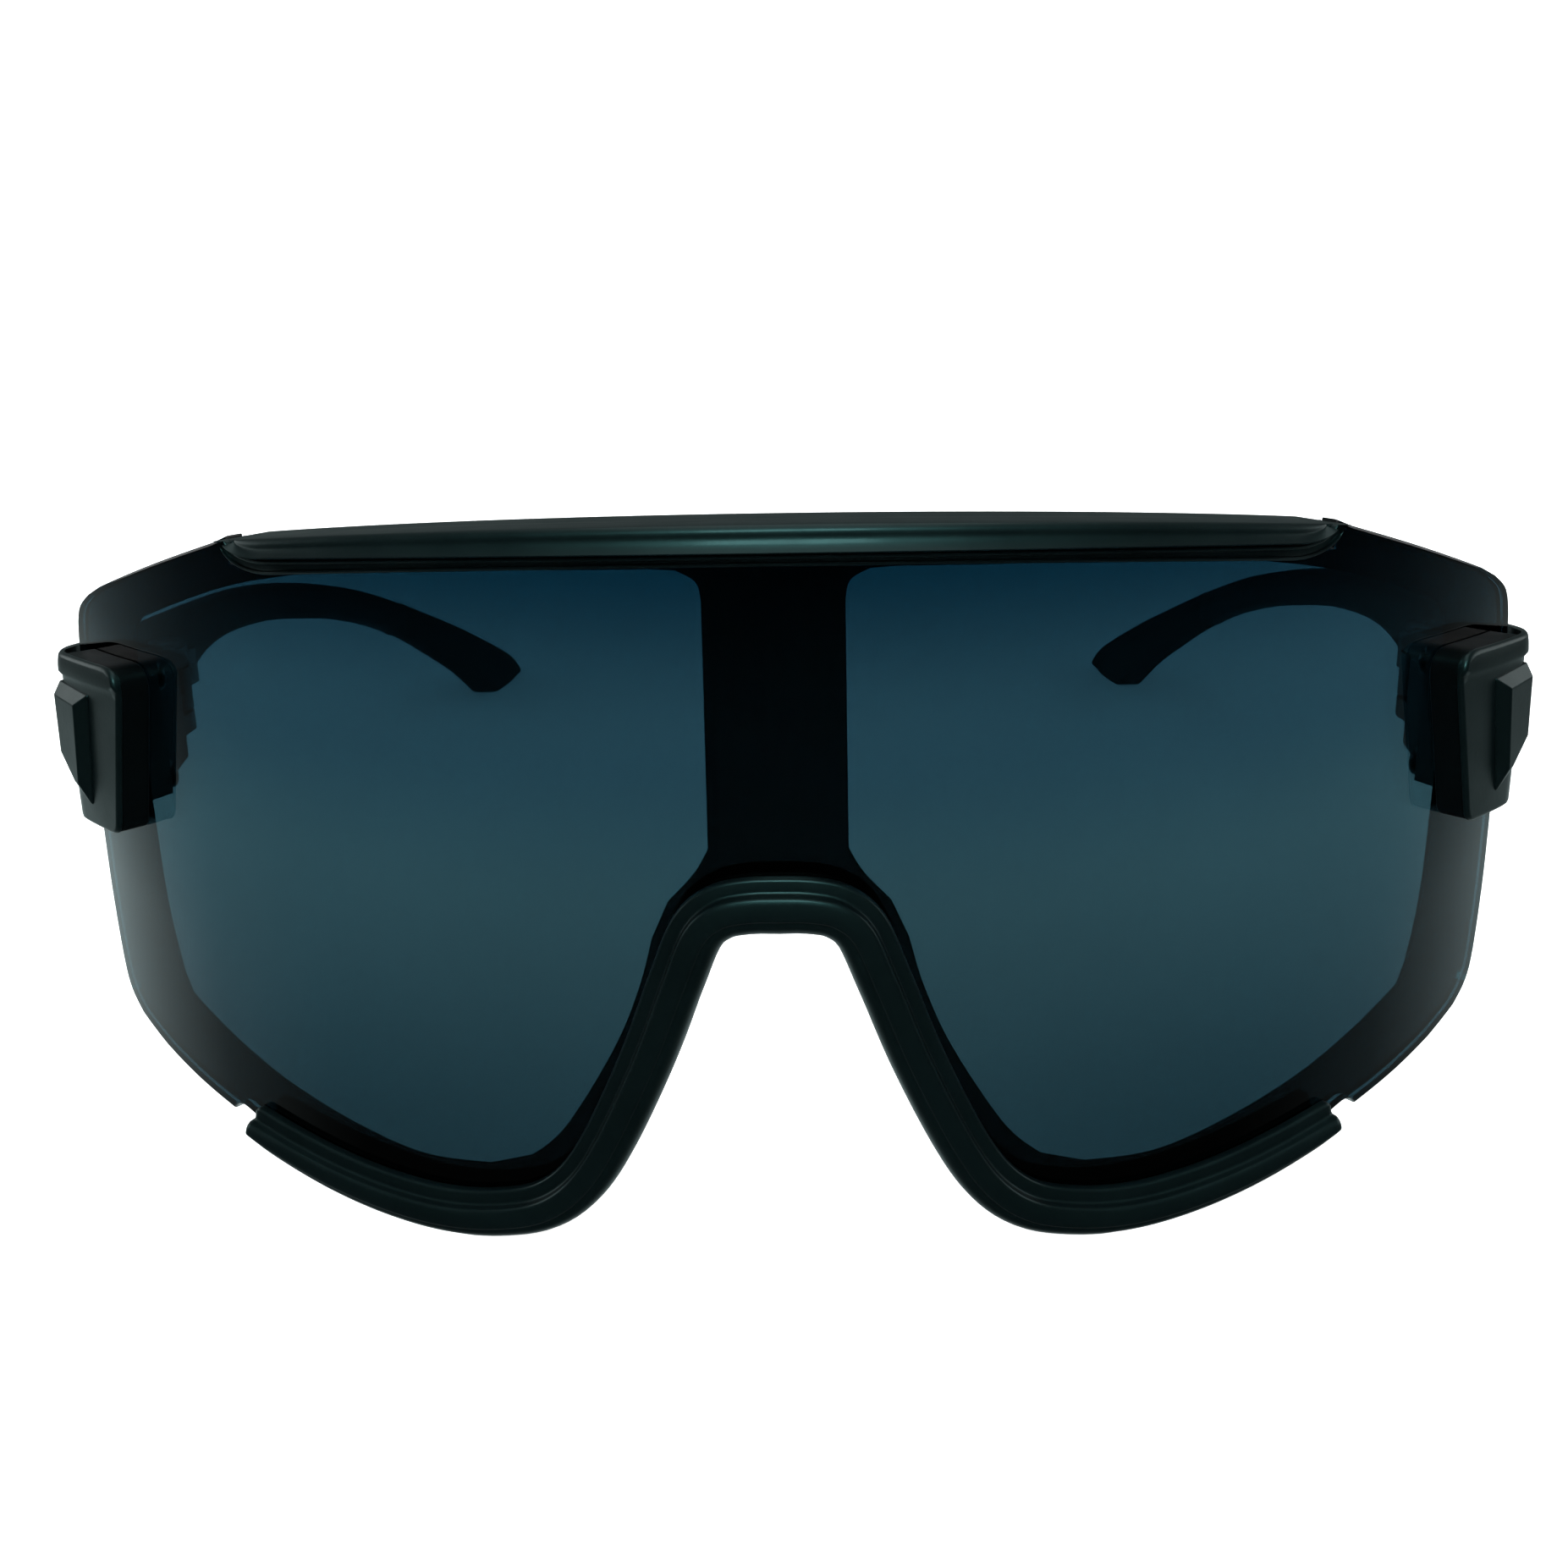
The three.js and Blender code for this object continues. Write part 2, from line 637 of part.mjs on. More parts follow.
function hingeLeaf() {
  const knuckle = upright(knucklePlan(HINGE_Y), HINGE_Z - KNUCKLE_HALF, HINGE_Z + KNUCKLE_HALF);
  const pinHole = upright(circlePlan(PIN_R + GAP), -20, 20);
  const round = upright(circlePlan(KNUCKLE_R), HINGE_Z - KNUCKLE_HALF, HINGE_Z + KNUCKLE_HALF);
  const [x0] = LEAF.x;
  const neckPlan = [
    [HINGE_X + 0.2, HINGE_Y + 1.2],
    [x0 + 1.2, HINGE_Y + 0.7],
    [x0 + 1.2, LEAF.y[0] + 1.4],
    [x0, LEAF.y[0] + 2.2],
    [HINGE_X - 0.6, HINGE_Y + 1.6],
  ];
  const neck = upright(neckPlan, HINGE_Z - LEAF.half, HINGE_Z + LEAF.half);
  return cut(join(knuckle, round, neck, leafSlot(0)), pinHole);
}

function circlePlan(r) {
  return Array.from({ length: 16 }, (_, k) => {
    const angle = (2 * Math.PI * k) / 16;
    return [HINGE_X + r * Math.cos(angle), HINGE_Y + r * Math.sin(angle)];
  });
}

// ---- assembly ----
const wearing = new THREE.Group();

function add(name, body, material) {
  const mesh = new THREE.Mesh(geometryOf(body), material);
  mesh.name = name;
  wearing.add(mesh);
  return mesh;
}

// The right side is the left side's mirror image.
function addPair(name, body, material) {
  add(`${name}_left`, body, material);
  add(`${name}_right`, body, material).scale.x = -1;
}

add("lens_shield", lensShield(), TINT);
add("lens_border_mask", lensBorderMask(), BLACK);
add("brow_channel", browChannel(), SATIN);
add("brow_cover", browCover(), SATIN);
add("lower_rim", lowerRim(), SATIN);
add("nose_bracket", noseBracket(), BLACK);
addPair("nose_pad", nosePad(1), RUBBER);
addPair("lens_clamp", lensClamp(), BLACK);
addPair("end_cover", endCover(), SATIN);
addPair("cover_badge", coverBadge(), SATIN);
addPair("hinge_bracket", hingeBracket(), BLACK);
addPair("clamp_screw_upper", clampScrew(SCREW_Z[0]), STEEL);
addPair("clamp_screw_lower", clampScrew(SCREW_Z[1]), STEEL);
addPair("hinge_screw", hingeScrew(), STEEL);
addPair("hinge_leaf", hingeLeaf(), STEEL);
addPair("temple", temple(), BLACK);
addPair("temple_sleeve", templeSleeve(), RUBBER);

// Stand it on the table: the front leans back until the temple ends touch too.
const sunglasses = new THREE.Group();
sunglasses.add(wearing);
wearing.rotation.x = -REST_TILT;
wearing.updateMatrixWorld(true);
const box = new THREE.Box3().setFromObject(wearing, true);
wearing.position.set(0, -(box.min.y + box.max.y) / 2, -box.min.z);

export default sunglasses;
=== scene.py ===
"""Wraparound sport sunglasses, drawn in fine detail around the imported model.

Shapes are worked out in the wearing frame, in millimetres: +X to the wearer's left, +Y back
towards the ears, +Z up, with the origin at the middle of the lens's front face. place() tilts
and lifts a point from there into the model's own frame, in metres, where the pair stands on
its rim and temple ends.
"""

import json
import math

import bmesh
import bpy
import numpy as np
from mathutils import Matrix, Vector
from mathutils.geometry import delaunay_2d_cdt


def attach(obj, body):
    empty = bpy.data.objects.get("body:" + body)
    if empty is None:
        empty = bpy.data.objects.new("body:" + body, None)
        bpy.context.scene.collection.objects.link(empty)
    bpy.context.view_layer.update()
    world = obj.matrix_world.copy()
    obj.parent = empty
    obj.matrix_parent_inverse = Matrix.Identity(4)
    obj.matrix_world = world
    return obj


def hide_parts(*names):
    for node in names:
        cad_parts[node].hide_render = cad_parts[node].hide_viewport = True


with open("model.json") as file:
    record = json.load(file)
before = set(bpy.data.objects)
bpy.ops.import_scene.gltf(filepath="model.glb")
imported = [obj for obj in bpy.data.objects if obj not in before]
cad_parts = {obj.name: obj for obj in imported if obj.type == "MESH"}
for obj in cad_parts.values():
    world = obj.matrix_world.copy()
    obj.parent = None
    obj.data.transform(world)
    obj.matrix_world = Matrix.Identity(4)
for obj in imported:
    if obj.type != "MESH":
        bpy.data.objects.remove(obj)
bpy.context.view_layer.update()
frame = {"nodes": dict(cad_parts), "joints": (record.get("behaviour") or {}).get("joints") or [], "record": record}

# ---- driving sizes, millimetres, wearing frame ----
LENS_R = 92
LENS_T = 2
MASK_DEPTH = 2.06
MASK_T = 0.4
MASK_INSET = 0.2  # from the lens's edge to the border's
LIP_BACK = 4.6  # depth of the back of the brow and rim
BROW_TOP = 23.8
BROW_FALL = 0.0011
COVER_END = 45.9
CHANNEL_END = 48.7
COVER_SEAT = 1.07  # how far the channel stands below its crest, to carry the cover
COVER_FRONT = 3.3  # how far the brow cover and the caps stand out from the lens
CLAMP_FRONT = 2.8
CLAMP_END = 75.2
CLAMP_SCREW_AT = 73.2
BLOCK_TOP = 8.4
BLOCK_BOTTOM = -8.2
BLOCK_END_Y = 42.3
TEMPLE_Y = 43
SLEEVE_Y = 112
SLEEVE_GAP = 0.25
NECK = 0.24  # the arm's narrow end, which closes the gap to the sleeve
NECK_INSET = 0.9
TEMPLE_END_Y = 144.5
HINGE = Vector((64.8, 42.7, 1))

# ---- the wearing frame's place, from the left hinge ----
FOLD = next(j for j in frame["joints"] if j["name"] == "left_temple_fold")
TILT = math.atan2(FOLD["axis"][1], FOLD["axis"][2])
LEAN = Matrix.Rotation(-TILT, 3, "X")
ORIGIN = 1000 * Vector(FOLD["pos_m"]) - LEAN @ HINGE
SIDES = {"left": 1, "right": -1}
BODY_OF = {n: b for b, names in frame["record"]["behaviour"]["bodies"].items() for n in names}
SLOT_OF = {s["node"]: s["material_slot"] for s in frame["record"]["subparts"]}
LOOKS = {}  # material slot, or the name of a look of its own: the material


def place(p):
    """A point of the wearing frame, in millimetres, in the model's own frame, in metres."""
    return (ORIGIN + LEAN @ Vector(p)) / 1000


# ---- curves ----
def spline(points, step=0.8):
    """A smooth curve through the points, sampled about every step."""
    curve = []
    last = len(points) - 1
    for i in range(last):
        before, a, b, after = (Vector(points[min(max(k, 0), last)]) for k in range(i - 1, i + 3))
        pieces = max(2, math.ceil((b - a).length / step))
        for k in range(pieces):
            t = k / pieces
            m0 = (b - before) / 2
            m1 = (after - a) / 2
            curve.append(
                (2 * t**3 - 3 * t**2 + 1) * a + (t**3 - 2 * t**2 + t) * m0
                + (3 * t**2 - 2 * t**3) * b + (t**3 - t**2) * m1
            )
    curve.append(Vector(points[-1]))
    return curve


def through(knots):
    """A smooth function through knots (x, value), the CAD model's own rule."""
    def slope(i):
        a = knots[max(i - 1, 0)]
        b = knots[min(i + 1, len(knots) - 1)]
        return (b[1] - a[1]) / (b[0] - a[0])

    def value(x):
        i = max(0, min(len(knots) - 2, sum(k[0] <= x for k in knots) - 1))
        width = knots[i + 1][0] - knots[i][0]
        t = (x - knots[i][0]) / width
        rise = knots[i + 1][1] - knots[i][1]
        return (
            knots[i][1] + t * t * (3 - 2 * t) * rise
            + (t - 2 * t * t + t**3) * width * slope(i)
            + (t**3 - t * t) * width * slope(i + 1)
        )
    return value


def smoothstep(low, high, x):
    """0 up to low and 1 from high on, with a smooth rise between them."""
    t = min(max((x - low) / (high - low), 0), 1)
    return t * t * (3 - 2 * t)


def mirrored(half):
    """A half outline, from the top middle round to the bottom middle, made whole."""
    return list(half) + [Vector((-s, z)) for s, z in reversed(half[1:-1])]


def rounded(corners, pieces=6):
    """A polygon of (u, z, radius) corners with round corners."""
    outline = []
    count = len(corners)
    for i, (u, z, radius) in enumerate(corners):
        here = Vector((u, z))
        back = (Vector(corners[i - 1][:2]) - here).normalized()
        ahead = (Vector(corners[(i + 1) % count][:2]) - here).normalized()
        angle = back.angle(ahead)
        reach = radius / math.tan(angle / 2)
        start = here + back * reach
        end = here + ahead * reach
        for k in range(pieces + 1):
            t = k / pieces
            outline.append((1 - t) ** 2 * start + 2 * t * (1 - t) * here + t * t * end)
    return outline


def thinned(outline, least=0.05):
    """A closed outline without its points that follow another too closely."""
    kept = []
    for p in outline:
        if not kept or (p - kept[-1]).length > least:
            kept.append(p)
    if (kept[0] - kept[-1]).length <= least:
        kept.pop()
    return kept


def resampled(outline, step):
    """A closed outline with its long edges cut into pieces no longer than step."""
    fine = []
    for i, p in enumerate(outline):
        ahead = outline[(i + 1) % len(outline)]
        pieces = max(1, math.ceil((ahead - p).length / step))
        fine += [p.lerp(ahead, k / pieces) for k in range(pieces)]
    return fine


def area(outline):
    """The area inside an outline, above zero where it runs anticlockwise."""
    return sum(p.x * q.y - q.x * p.y for p, q in zip(outline, outline[1:] + outline[:1])) / 2


def outward(outline):
    """The unit vector out of the material at each point, and how far it must stretch."""
    normals = []
    for i, p in enumerate(outline):
        a = (p - outline[i - 1]).normalized()
        b = (outline[(i + 1) % len(outline)] - p).normalized()
        along = (a + b).normalized()
        stretch = 1 / max(along.dot(a), 0.6)
        normals.append((Vector((along.y, -along.x)), stretch))
    return normals


def inside(points, loops):
    """Which points lie in the material, by counting the crossings with every loop."""
    x, y = points[:, 0], points[:, 1]
    odd = np.zeros(len(points), bool)
    for loop in loops:
        for p, q in zip(loop, loop[1:] + loop[:1]):
            if p.y == q.y:
                continue
            crosses = (p.y > y) != (q.y > y)
            at = p.x + (y - p.y) * (q.x - p.x) / (q.y - p.y)
            odd ^= crosses & (x < at)
    return odd


# ---- solids ----
def make_object(name, points, faces, normals=None, sharp=35, side=1):
    """A mesh object from points in the wearing frame, mirrored for the right side."""
    mesh = bpy.data.meshes.new(name)
    if side < 0:
        faces = [tuple(reversed(f)) for f in faces]
    mesh.from_pydata([place((side * p[0], p[1], p[2])) for p in points], [], faces)
    mesh.validate()
    mesh.shade_smooth()
    if normals:
        flat = [LEAN @ Vector((side * n[0], n[1], n[2])).normalized() for n in normals]
        mesh.normals_split_custom_set_from_vertices(flat)
    else:
        mesh.set_sharp_from_angle(angle=math.radians(sharp))
    obj = bpy.data.objects.new(name, mesh)
    bpy.context.scene.collection.objects.link(obj)
    return obj


def fillet(radius, front, back, back_radius=None, pieces=5):
    """Rings (inset, depth, tilt) from the back cap round the edge to the front cap."""
    back_radius = radius if back_radius is None else back_radius
    rings = []
    for k in range(pieces + 1):
        t = math.pi / 2 * k / pieces
        inset = back_radius * (1 - math.sin(t))
        rings.append((inset, back - back_radius * (1 - math.cos(t)), t - math.pi / 2))
    for k in range(pieces + 1):
        t = math.pi / 2 * k / pieces
        rings.append((radius * (1 - math.cos(t)), front + radius * (1 - math.sin(t)), t))
    return rings


def plate(name, loops, rings, surface, grid=(2, 4), side=1, relief=None):
    """A plate with round edges that follows a surface(u, depth, z).

    loops is the outline and then its holes. Each ring is an inset from them at a depth, with the
    tilt of its normal: -90 degrees faces back and 90 faces front. relief(u, z) raises the front.
    """
    loops = [loop if (area(loop) > 0) == (i == 0) else loop[::-1] for i, loop in enumerate(loops)]
    relief = relief or (lambda u, z: 0)
    points, normals, faces = [], [], []

    def add_point(u, depth, z, flat, tilt):
        lift = relief(u, z) if tilt > 0 else 0
        h = 0.05
        eu = (surface(u + h, depth, z) - surface(u - h, depth, z)).normalized()
        ed = (surface(u, depth - h, z) - surface(u, depth + h, z)).normalized()
        ez = Vector((0, 0, 1))
        front = ed
        if tilt > 0:
            slope_u = (relief(u + h, z) - relief(u - h, z)) / (2 * h)
            slope_z = (relief(u, z + h) - relief(u, z - h)) / (2 * h)
            front = (ed - slope_u * eu - slope_z * ez).normalized()
        points.append(surface(u, depth - lift, z))
        normals.append(math.cos(tilt) * (flat.x * eu + flat.y * ez) + math.sin(tilt) * front)
        return len(points) - 1

    cap_loops = {0: [], len(rings) - 1: []}
    for loop in loops:
        before = None
        out = outward(loop)
        for k, (inset, depth, tilt) in enumerate(rings):
            flats = [p - n * inset * stretch for p, (n, stretch) in zip(loop, out)]
            ids = [add_point(p.x, depth, p.y, n, tilt) for p, (n, _) in zip(flats, out)]
            if k in cap_loops:
                cap_loops[k].append((flats, ids))
            if before:
                for i in range(len(ids)):
                    j = (i + 1) % len(ids)
                    faces.append((before[i], before[j], ids[j], ids[i]))
            before = ids

    for k, cap in cap_loops.items():
        flats = [f for f, _ in cap]
        ids = [i for _, some in cap for i in some]
        rim = [p for f in flats for p in f]
        edges = []
        for f in flats:
            first = len(edges)
            edges += [(first + i, first + (i + 1) % len(f)) for i in range(len(f))]
        lo = [min(p[a] for p in rim) for a in (0, 1)]
        hi = [max(p[a] for p in rim) for a in (0, 1)]
        cells = [max(1, round((hi[a] - lo[a]) / grid[a])) for a in (0, 1)]
        nodes = np.array([
            (lo[0] + (hi[0] - lo[0]) * i / cells[0], lo[1] + (hi[1] - lo[1]) * j / cells[1])
            for i in range(1, cells[0]) for j in range(1, cells[1])
        ]).reshape(-1, 2)
        nodes = nodes[inside(nodes, flats)]
        edge_points = np.array([tuple(p) for p in rim])
        gap = min(grid) * 0.4
        clear = [np.hypot(*(edge_points - n).T).min() > gap for n in nodes]
        nodes = nodes[np.array(clear, bool)] if len(nodes) else nodes
        depth, tilt = rings[k][1], rings[k][2]
        ids += [add_point(x, depth, z, Vector((0, 0)), tilt) for x, z in nodes.tolist()]
        flat_points = rim + [Vector(n) for n in nodes]
        out_verts, _, tris, origin, _, _ = delaunay_2d_cdt(flat_points, edges, [], 0, 1e-5)
        centres = np.array([tuple(sum((out_verts[i] for i in t), Vector((0, 0))) / 3) for t in tris])
        keep = inside(centres, flats)
        for t, kept in zip(tris, keep):
            if not kept:
                continue
            tri = [ids[origin[i][0]] for i in t]
            faces.append(tuple(tri) if k else tuple(reversed(tri)))
    return make_object(name, points, faces, normals, side=side)


def loft(name, rings, side=1, sharp=35):
    """A closed body through rings of points, each running the same way round."""
    count = len(rings[0])
    points = [p for ring in rings for p in ring]
    faces = []
    for i in range(len(rings) - 1):
        for k in range(count):
            a = i * count + k
            b = i * count + (k + 1) % count
            faces.append((a, b, b + count, a + count))
    faces.append(tuple(reversed(range(count))))
    faces.append(tuple(range((len(rings) - 1) * count, len(rings) * count)))
    return make_object(name, points, faces, sharp=sharp, side=side)


def bevelled(obj, width, segments, angle):
    """Rounds the edges sharper than the angle, in degrees, by a width in metres."""
    bevel = obj.modifiers.new("soft_edges", "BEVEL")
    bevel.width = width
    bevel.segments = segments
    bevel.limit_method = "ANGLE"
    bevel.angle_limit = math.radians(angle)
    bevel.harden_normals = True
    return obj


def adopt(obj, node, look=None):
    """Gives a piece the body of the CAD node it stands for and the look of that node's slot or a look of its own,
    and hides the node.
    """
    obj.data.materials.clear()
    obj.data.materials.append(LOOKS[look or SLOT_OF[node]])
    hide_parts(node)
    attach(obj, BODY_OF[node])
    return obj


def on_lens(s, depth, z):
    """A point at s along the lens's front face, at a depth behind it and a height."""
    angle = s / LENS_R
    r = LENS_R - depth
    return Vector((r * math.sin(angle), LENS_R - r * math.cos(angle), z))


# ---- outlines along the lens, [s, z], the CAD model's own ----
def brow_top(s):
    """The height of the brow's top edge, a shallow arch."""
    return BROW_TOP - BROW_FALL * s * s


def top_edge(end, drop, pieces=24):
    """Points on a line below the brow's top edge, from the middle to an end."""
    return [Vector((end * k / pieces, brow_top(end * k / pieces) - drop)) for k in range(pieces + 1)]


def lens_outline():
    """The lens's edge: under the brow, down past the block, along the rim and up to the nose."""
    half = (
        top_edge(49, 2.2)
        + [Vector((49.3, 21.3))]
        + spline([(51.2, 20.6), (60, 18.1), (71.5, 14.7)], 1.5)
        + spline([(74.5, 13.6), (77.4, 11.9), (78.7, 9), (79, 5)])
        + spline([(79.5, -12), (79.5, -18), (78.8, -25.2), (77.6, -28.3), (75, -30.3)], 1)
        + spline([(70, -32.1), (64, -33.8), (58, -35.3)], 1.5)
        + spline([(57.4, -34.7), (56.4, -34.5), (55.3, -34.8)], 0.5)
        + spline([(52.5, -35.9), (43, -37.9), (35.5, -38.9), (29, -39), (24.3, -37.9)], 1.2)
        + spline([(20.1, -35.6), (16.8, -31.8), (13.7, -26.6), (11.1, -20.8), (8.8, -15.6)], 1.2)
        + spline([(7.2, -11.7), (5.4, -9.2), (2.8, -8.2), (0, -8.1)])
    )
    return resampled(thinned(mirrored(half)), 1.5)


def window_outline():
    """The clear window in the left half of the border."""
    return resampled(thinned(
        spline([(5.8, 17.3), (6.2, 18.8), (7.8, 19.7)], 0.4)
        + spline([(10, 19.8), (27, 19.4), (36.8, 18.9), (44.3, 18), (53, 16.2), (65.4, 12.4)], 1.5)
        + spline([(66.5, 11.4), (67.4, 9), (68.3, 0), (68.1, -12), (67.5, -18), (66.1, -23.3)], 1)
        + spline([(65, -25.2), (62.7, -26.2), (58, -28.2), (51, -30.8), (42, -33.3), (34.5, -34.7),
                  (27.5, -34.4)], 1.2)
        + spline([(23.2, -33), (19.8, -29.8), (15, -22.1), (12.4, -16.2), (11, -11.4)], 1)
        + spline([(9.5, -8.1), (7.2, -5.6), (5.9, -3.4)], 0.5)
    ), 2)


# The ridge line that the lower rim's section is carried along, left half.
RIM_RIDGE = [
    (0, -6.4), (2.6, -6.5), (5.3, -7.2), (7.6, -9.3), (9.6, -14.1), (12.3, -21.2), (15.7, -28.6),
    (18.4, -33), (21.4, -35.6), (25.2, -36.9), (30, -37.6), (35.5, -37.5), (42.8, -36.6), (52.9, -34.7),
]
rim_width = through([(0, 3.6), (10, 3.35), (21, 3.2), (30, 3.05), (42.5, 2.7), (50, 2.3), (53, 1.9)])


# ---- the front ----
def lens_shield():
    """The tinted lens, a bent plate with rounded edges."""
    obj = plate("lens_tinted", [lens_outline()], fillet(0.3, 0, LENS_T), on_lens)
    return adopt(obj, "lens_shield")


def shrunk(outline, inset):
    """An outline moved into its material by a distance."""
    loop = outline if area(outline) > 0 else outline[::-1]
    return [p - n * inset * stretch for p, (n, stretch) in zip(loop, outward(loop))]


def border_mask():
    """The opaque border behind the lens, with its two windows and the bar between them."""
    window = window_outline()
    other = [Vector((-p.x, p.y)) for p in reversed(window)]
    rings = fillet(0.1, MASK_DEPTH, MASK_DEPTH + MASK_T, pieces=2)
    edge = shrunk(lens_outline(), MASK_INSET)
    obj = plate("lens_border", [edge, window, other], rings, on_lens)
    return adopt(obj, "lens_border_mask")


def bar_bottom(middle, fall, corner, end):
    """The lower edge of one step of the brow: an arch whose ends curl up to the top edge."""
    def bottom(s):
        base = middle - fall * s * s
        t = min(max((abs(s) - corner) / (end - corner), 0), 1)
        return base + (brow_top(s) - base) * (1 - math.sqrt(max(1 - t * t, 0)))
    return bottom


cover_bottom = bar_bottom(21.7, 0.0008, 42.3, 46.05)
ridge_bottom = bar_bottom(21.1, 0.00083, 42.7, 47.1)
edge_bottom = bar_bottom(20.4, 0.00098, 43.2, 48.8)


def stations(end, fine_from, coarse=1.5, fine=0.22):
    """Places along the brow from end to end, closer together near the ends."""
    half = list(np.arange(0, fine_from, coarse)) + list(np.arange(fine_from, end, fine)) + [end]
    return [-s for s in reversed(half[1:])] + half


def brow_cover():
    """The outer bar: a flat top, a round shoulder and a face that leans out to its lower edge."""
    rings = []
    for s in stations(COVER_END, 41):
        top = brow_top(s)
        bottom = min(cover_bottom(s), top - 0.06)
        height = top - bottom
        r = min(0.75, 0.45 * height)
        front = -COVER_FRONT
        profile = [(1.5, top - 0.1), (1.3, top), (0.4, top), (-0.6, top)]
        for k in range(7):
            a = math.pi / 2 * k / 6
            profile.append((front + 1.5 - r * math.sin(a) - 0.05, top - r + r * math.cos(a)))
        start = profile[-1]
        fall = start[1] - (bottom + 0.12)
        for k in range(1, 9):
            t = k / 8
            profile.append((start[0] - (start[0] - front) * t**1.7, start[1] - fall * t))
        inner = max(top - 0.8, bottom + 0.09)
        profile += [
            (front + 0.02, bottom + 0.05), (front + 0.12, bottom), (-1.8, bottom), (-1.68, bottom + 0.08),
            (-1.66, inner - 0.001), (-1.6, inner), (1.4, inner), (1.5, inner + 0.08),
        ]
        rings.append([on_lens(s, depth, min(z, top)) for depth, z in profile])
    return adopt(loft("brow_top_cover", rings, sharp=40), "brow_cover")


def brow_channel():
    """The rail over the lens's top edge, with its slot, two ridges in front and a crest behind."""
    rings = []
    for s in stations(CHANNEL_END, 41):
        crest = brow_top(s) - 0.05
        top = crest - COVER_SEAT * (1 - smoothstep(COVER_END + 0.1, COVER_END + 0.9, abs(s)))
        low = min(edge_bottom(s), top - 0.3)
        ridge = ridge_bottom(s)
        slot_top = max(brow_top(s) - 1.9, low + 0.15)
        lower = [
            (LIP_BACK, low + 0.2), (LIP_BACK - 0.2, low), (3.6, low), (3.4, low + 0.1),
            (3.4, slot_top), (-0.06, slot_top), (-0.06, low + 0.05), (-0.12, low), (-1.1, low),
            (-1.22, low + 0.06), (-1.27, low + 0.16), (-1.22, low + 0.28), (-1.0, low + 0.36),
            (-0.95, low + 0.45), (-0.95, ridge - 0.06), (-1.85, ridge), (-2.0, ridge + 0.06),
            (-2.05, ridge + 0.16), (-2.0, ridge + 0.27), (-1.85, ridge + 0.34), (-1.5, ridge + 0.36),
            (-1.5, top - 0.15), (-1.35, top), (1.55, top),
        ]
        profile = [(depth, min(max(z, low), top)) for depth, z in lower]
        profile += [(1.58, crest - 0.12), (1.7, crest), (LIP_BACK - 0.25, crest), (LIP_BACK, crest - 0.25)]
        rings.append([on_lens(s, depth, z) for depth, z in profile])
    return adopt(loft("brow_ridged_channel", rings, sharp=40), "brow_channel")


def rim_profile(width):
    """The rim's section: (distance outwards from the ridge line, depth)."""
    k = width / 3.4
    groove = 0.6 * width + 0.1
    front = [
        (-1.3, -0.12), (-1.3, -0.72), (-1.22, -0.9), (-1.05, -1.0), (-0.3, -1.05), (-0.12, -1.12),
        (-0.04, -1.3), (0.0, -1.72), (0.06, -1.9), (0.2, -2.02), (0.5 * k, -2.12), (0.95 * k, -2.24),
        (1.4 * k, -2.3), (1.74 * k, -2.33), (1.84 * k, -2.3), (1.9 * k, -2.18), (2.0 * k, -2.1),
        (2.15 * k, -2.1), (2.45 * k, -2.03), (2.75 * k, -1.83), (3.05 * k, -1.5), (3.27 * k, -1.0),
        (3.38 * k, -0.4), (3.4 * k, 0.3),
    ]
    back = [
        (3.4 * k, 3.7), (3.3 * k, 4.3), (3.05 * k, LIP_BACK - 0.05), (2.8 * k, LIP_BACK), (0, LIP_BACK),
        (-1.05, LIP_BACK), (-1.24, LIP_BACK - 0.1), (-1.3, 4.3), (-1.3, 3.6), (-1.15, 3.42),
    ]
    slot = [(groove, 3.42), (groove, -0.06), (-1.2, -0.06)]
    return front + back + slot


def swept(path, profile_at, end_round=0.8):
    """Rings of a section carried along a path in the lens's face, with round ends."""
    rings = []
    last = len(path) - 1
    ends = []
    for k in range(6):
        t = math.pi / 2 * k / 6
        ends.append((end_round * math.cos(t), math.sqrt(math.sin(t) + 1e-3)))

    def ring(p, along, size, shift):
        out = Vector((along.y, -along.x))
        profile = profile_at(abs(p.x))
        middle = [sum(q[i] for q in profile) / len(profile) for i in (0, 1)]
        points = []
        for a, depth in profile:
            a = middle[0] + (a - middle[0]) * size
            depth = middle[1] + (depth - middle[1]) * (0.25 + 0.75 * size)
            flat = p + out * a + along * shift
            points.append(on_lens(flat.x, depth, flat.y))
        return points

    for i, p in enumerate(path):
        along = (path[min(i + 1, last)] - path[max(i - 1, 0)]).normalized()
        if i == 0:
            rings += [ring(p, along, size, -reach) for reach, size in ends]
        rings.append(ring(p, along, 1, 0))
        if i == last:
            rings += [ring(p, along, size, reach) for reach, size in reversed(ends)]
    return rings


def on_table(obj):
    """Flattens what would sink below the table."""
    for v in obj.data.vertices:
        v.co.z = max(v.co.z, 0)
    return obj


def lower_rim():
    """The rim from end to end, over the nose, flat where it stands on the table."""
    half = thinned(spline(RIM_RIDGE, 0.9))
    path = [Vector((-p.x, p.y)) for p in reversed(half[1:])] + half
    obj = loft("rim_lower", swept(path, lambda s: rim_profile(rim_width(s))), sharp=50)
    return adopt(on_table(obj), "lower_rim")


def nose_bracket():
    """The arched clip behind the nose arch."""
    outer = spline([(0, -6.8), (4.5, -7.6), (7.4, -10.5), (10.2, -17), (13.2, -24)])
    inner = spline([(10.8, -24.6), (7.7, -17.6), (5.4, -12.4), (3.4, -10.4), (0, -9.8)])
    outline = thinned(mirrored(outer + inner))
    front = LIP_BACK + 0.3
    obj = plate("nose_bracket_arch", [outline], fillet(0.5, front, front + 1.6), on_lens)
    return adopt(obj, "nose_bracket")


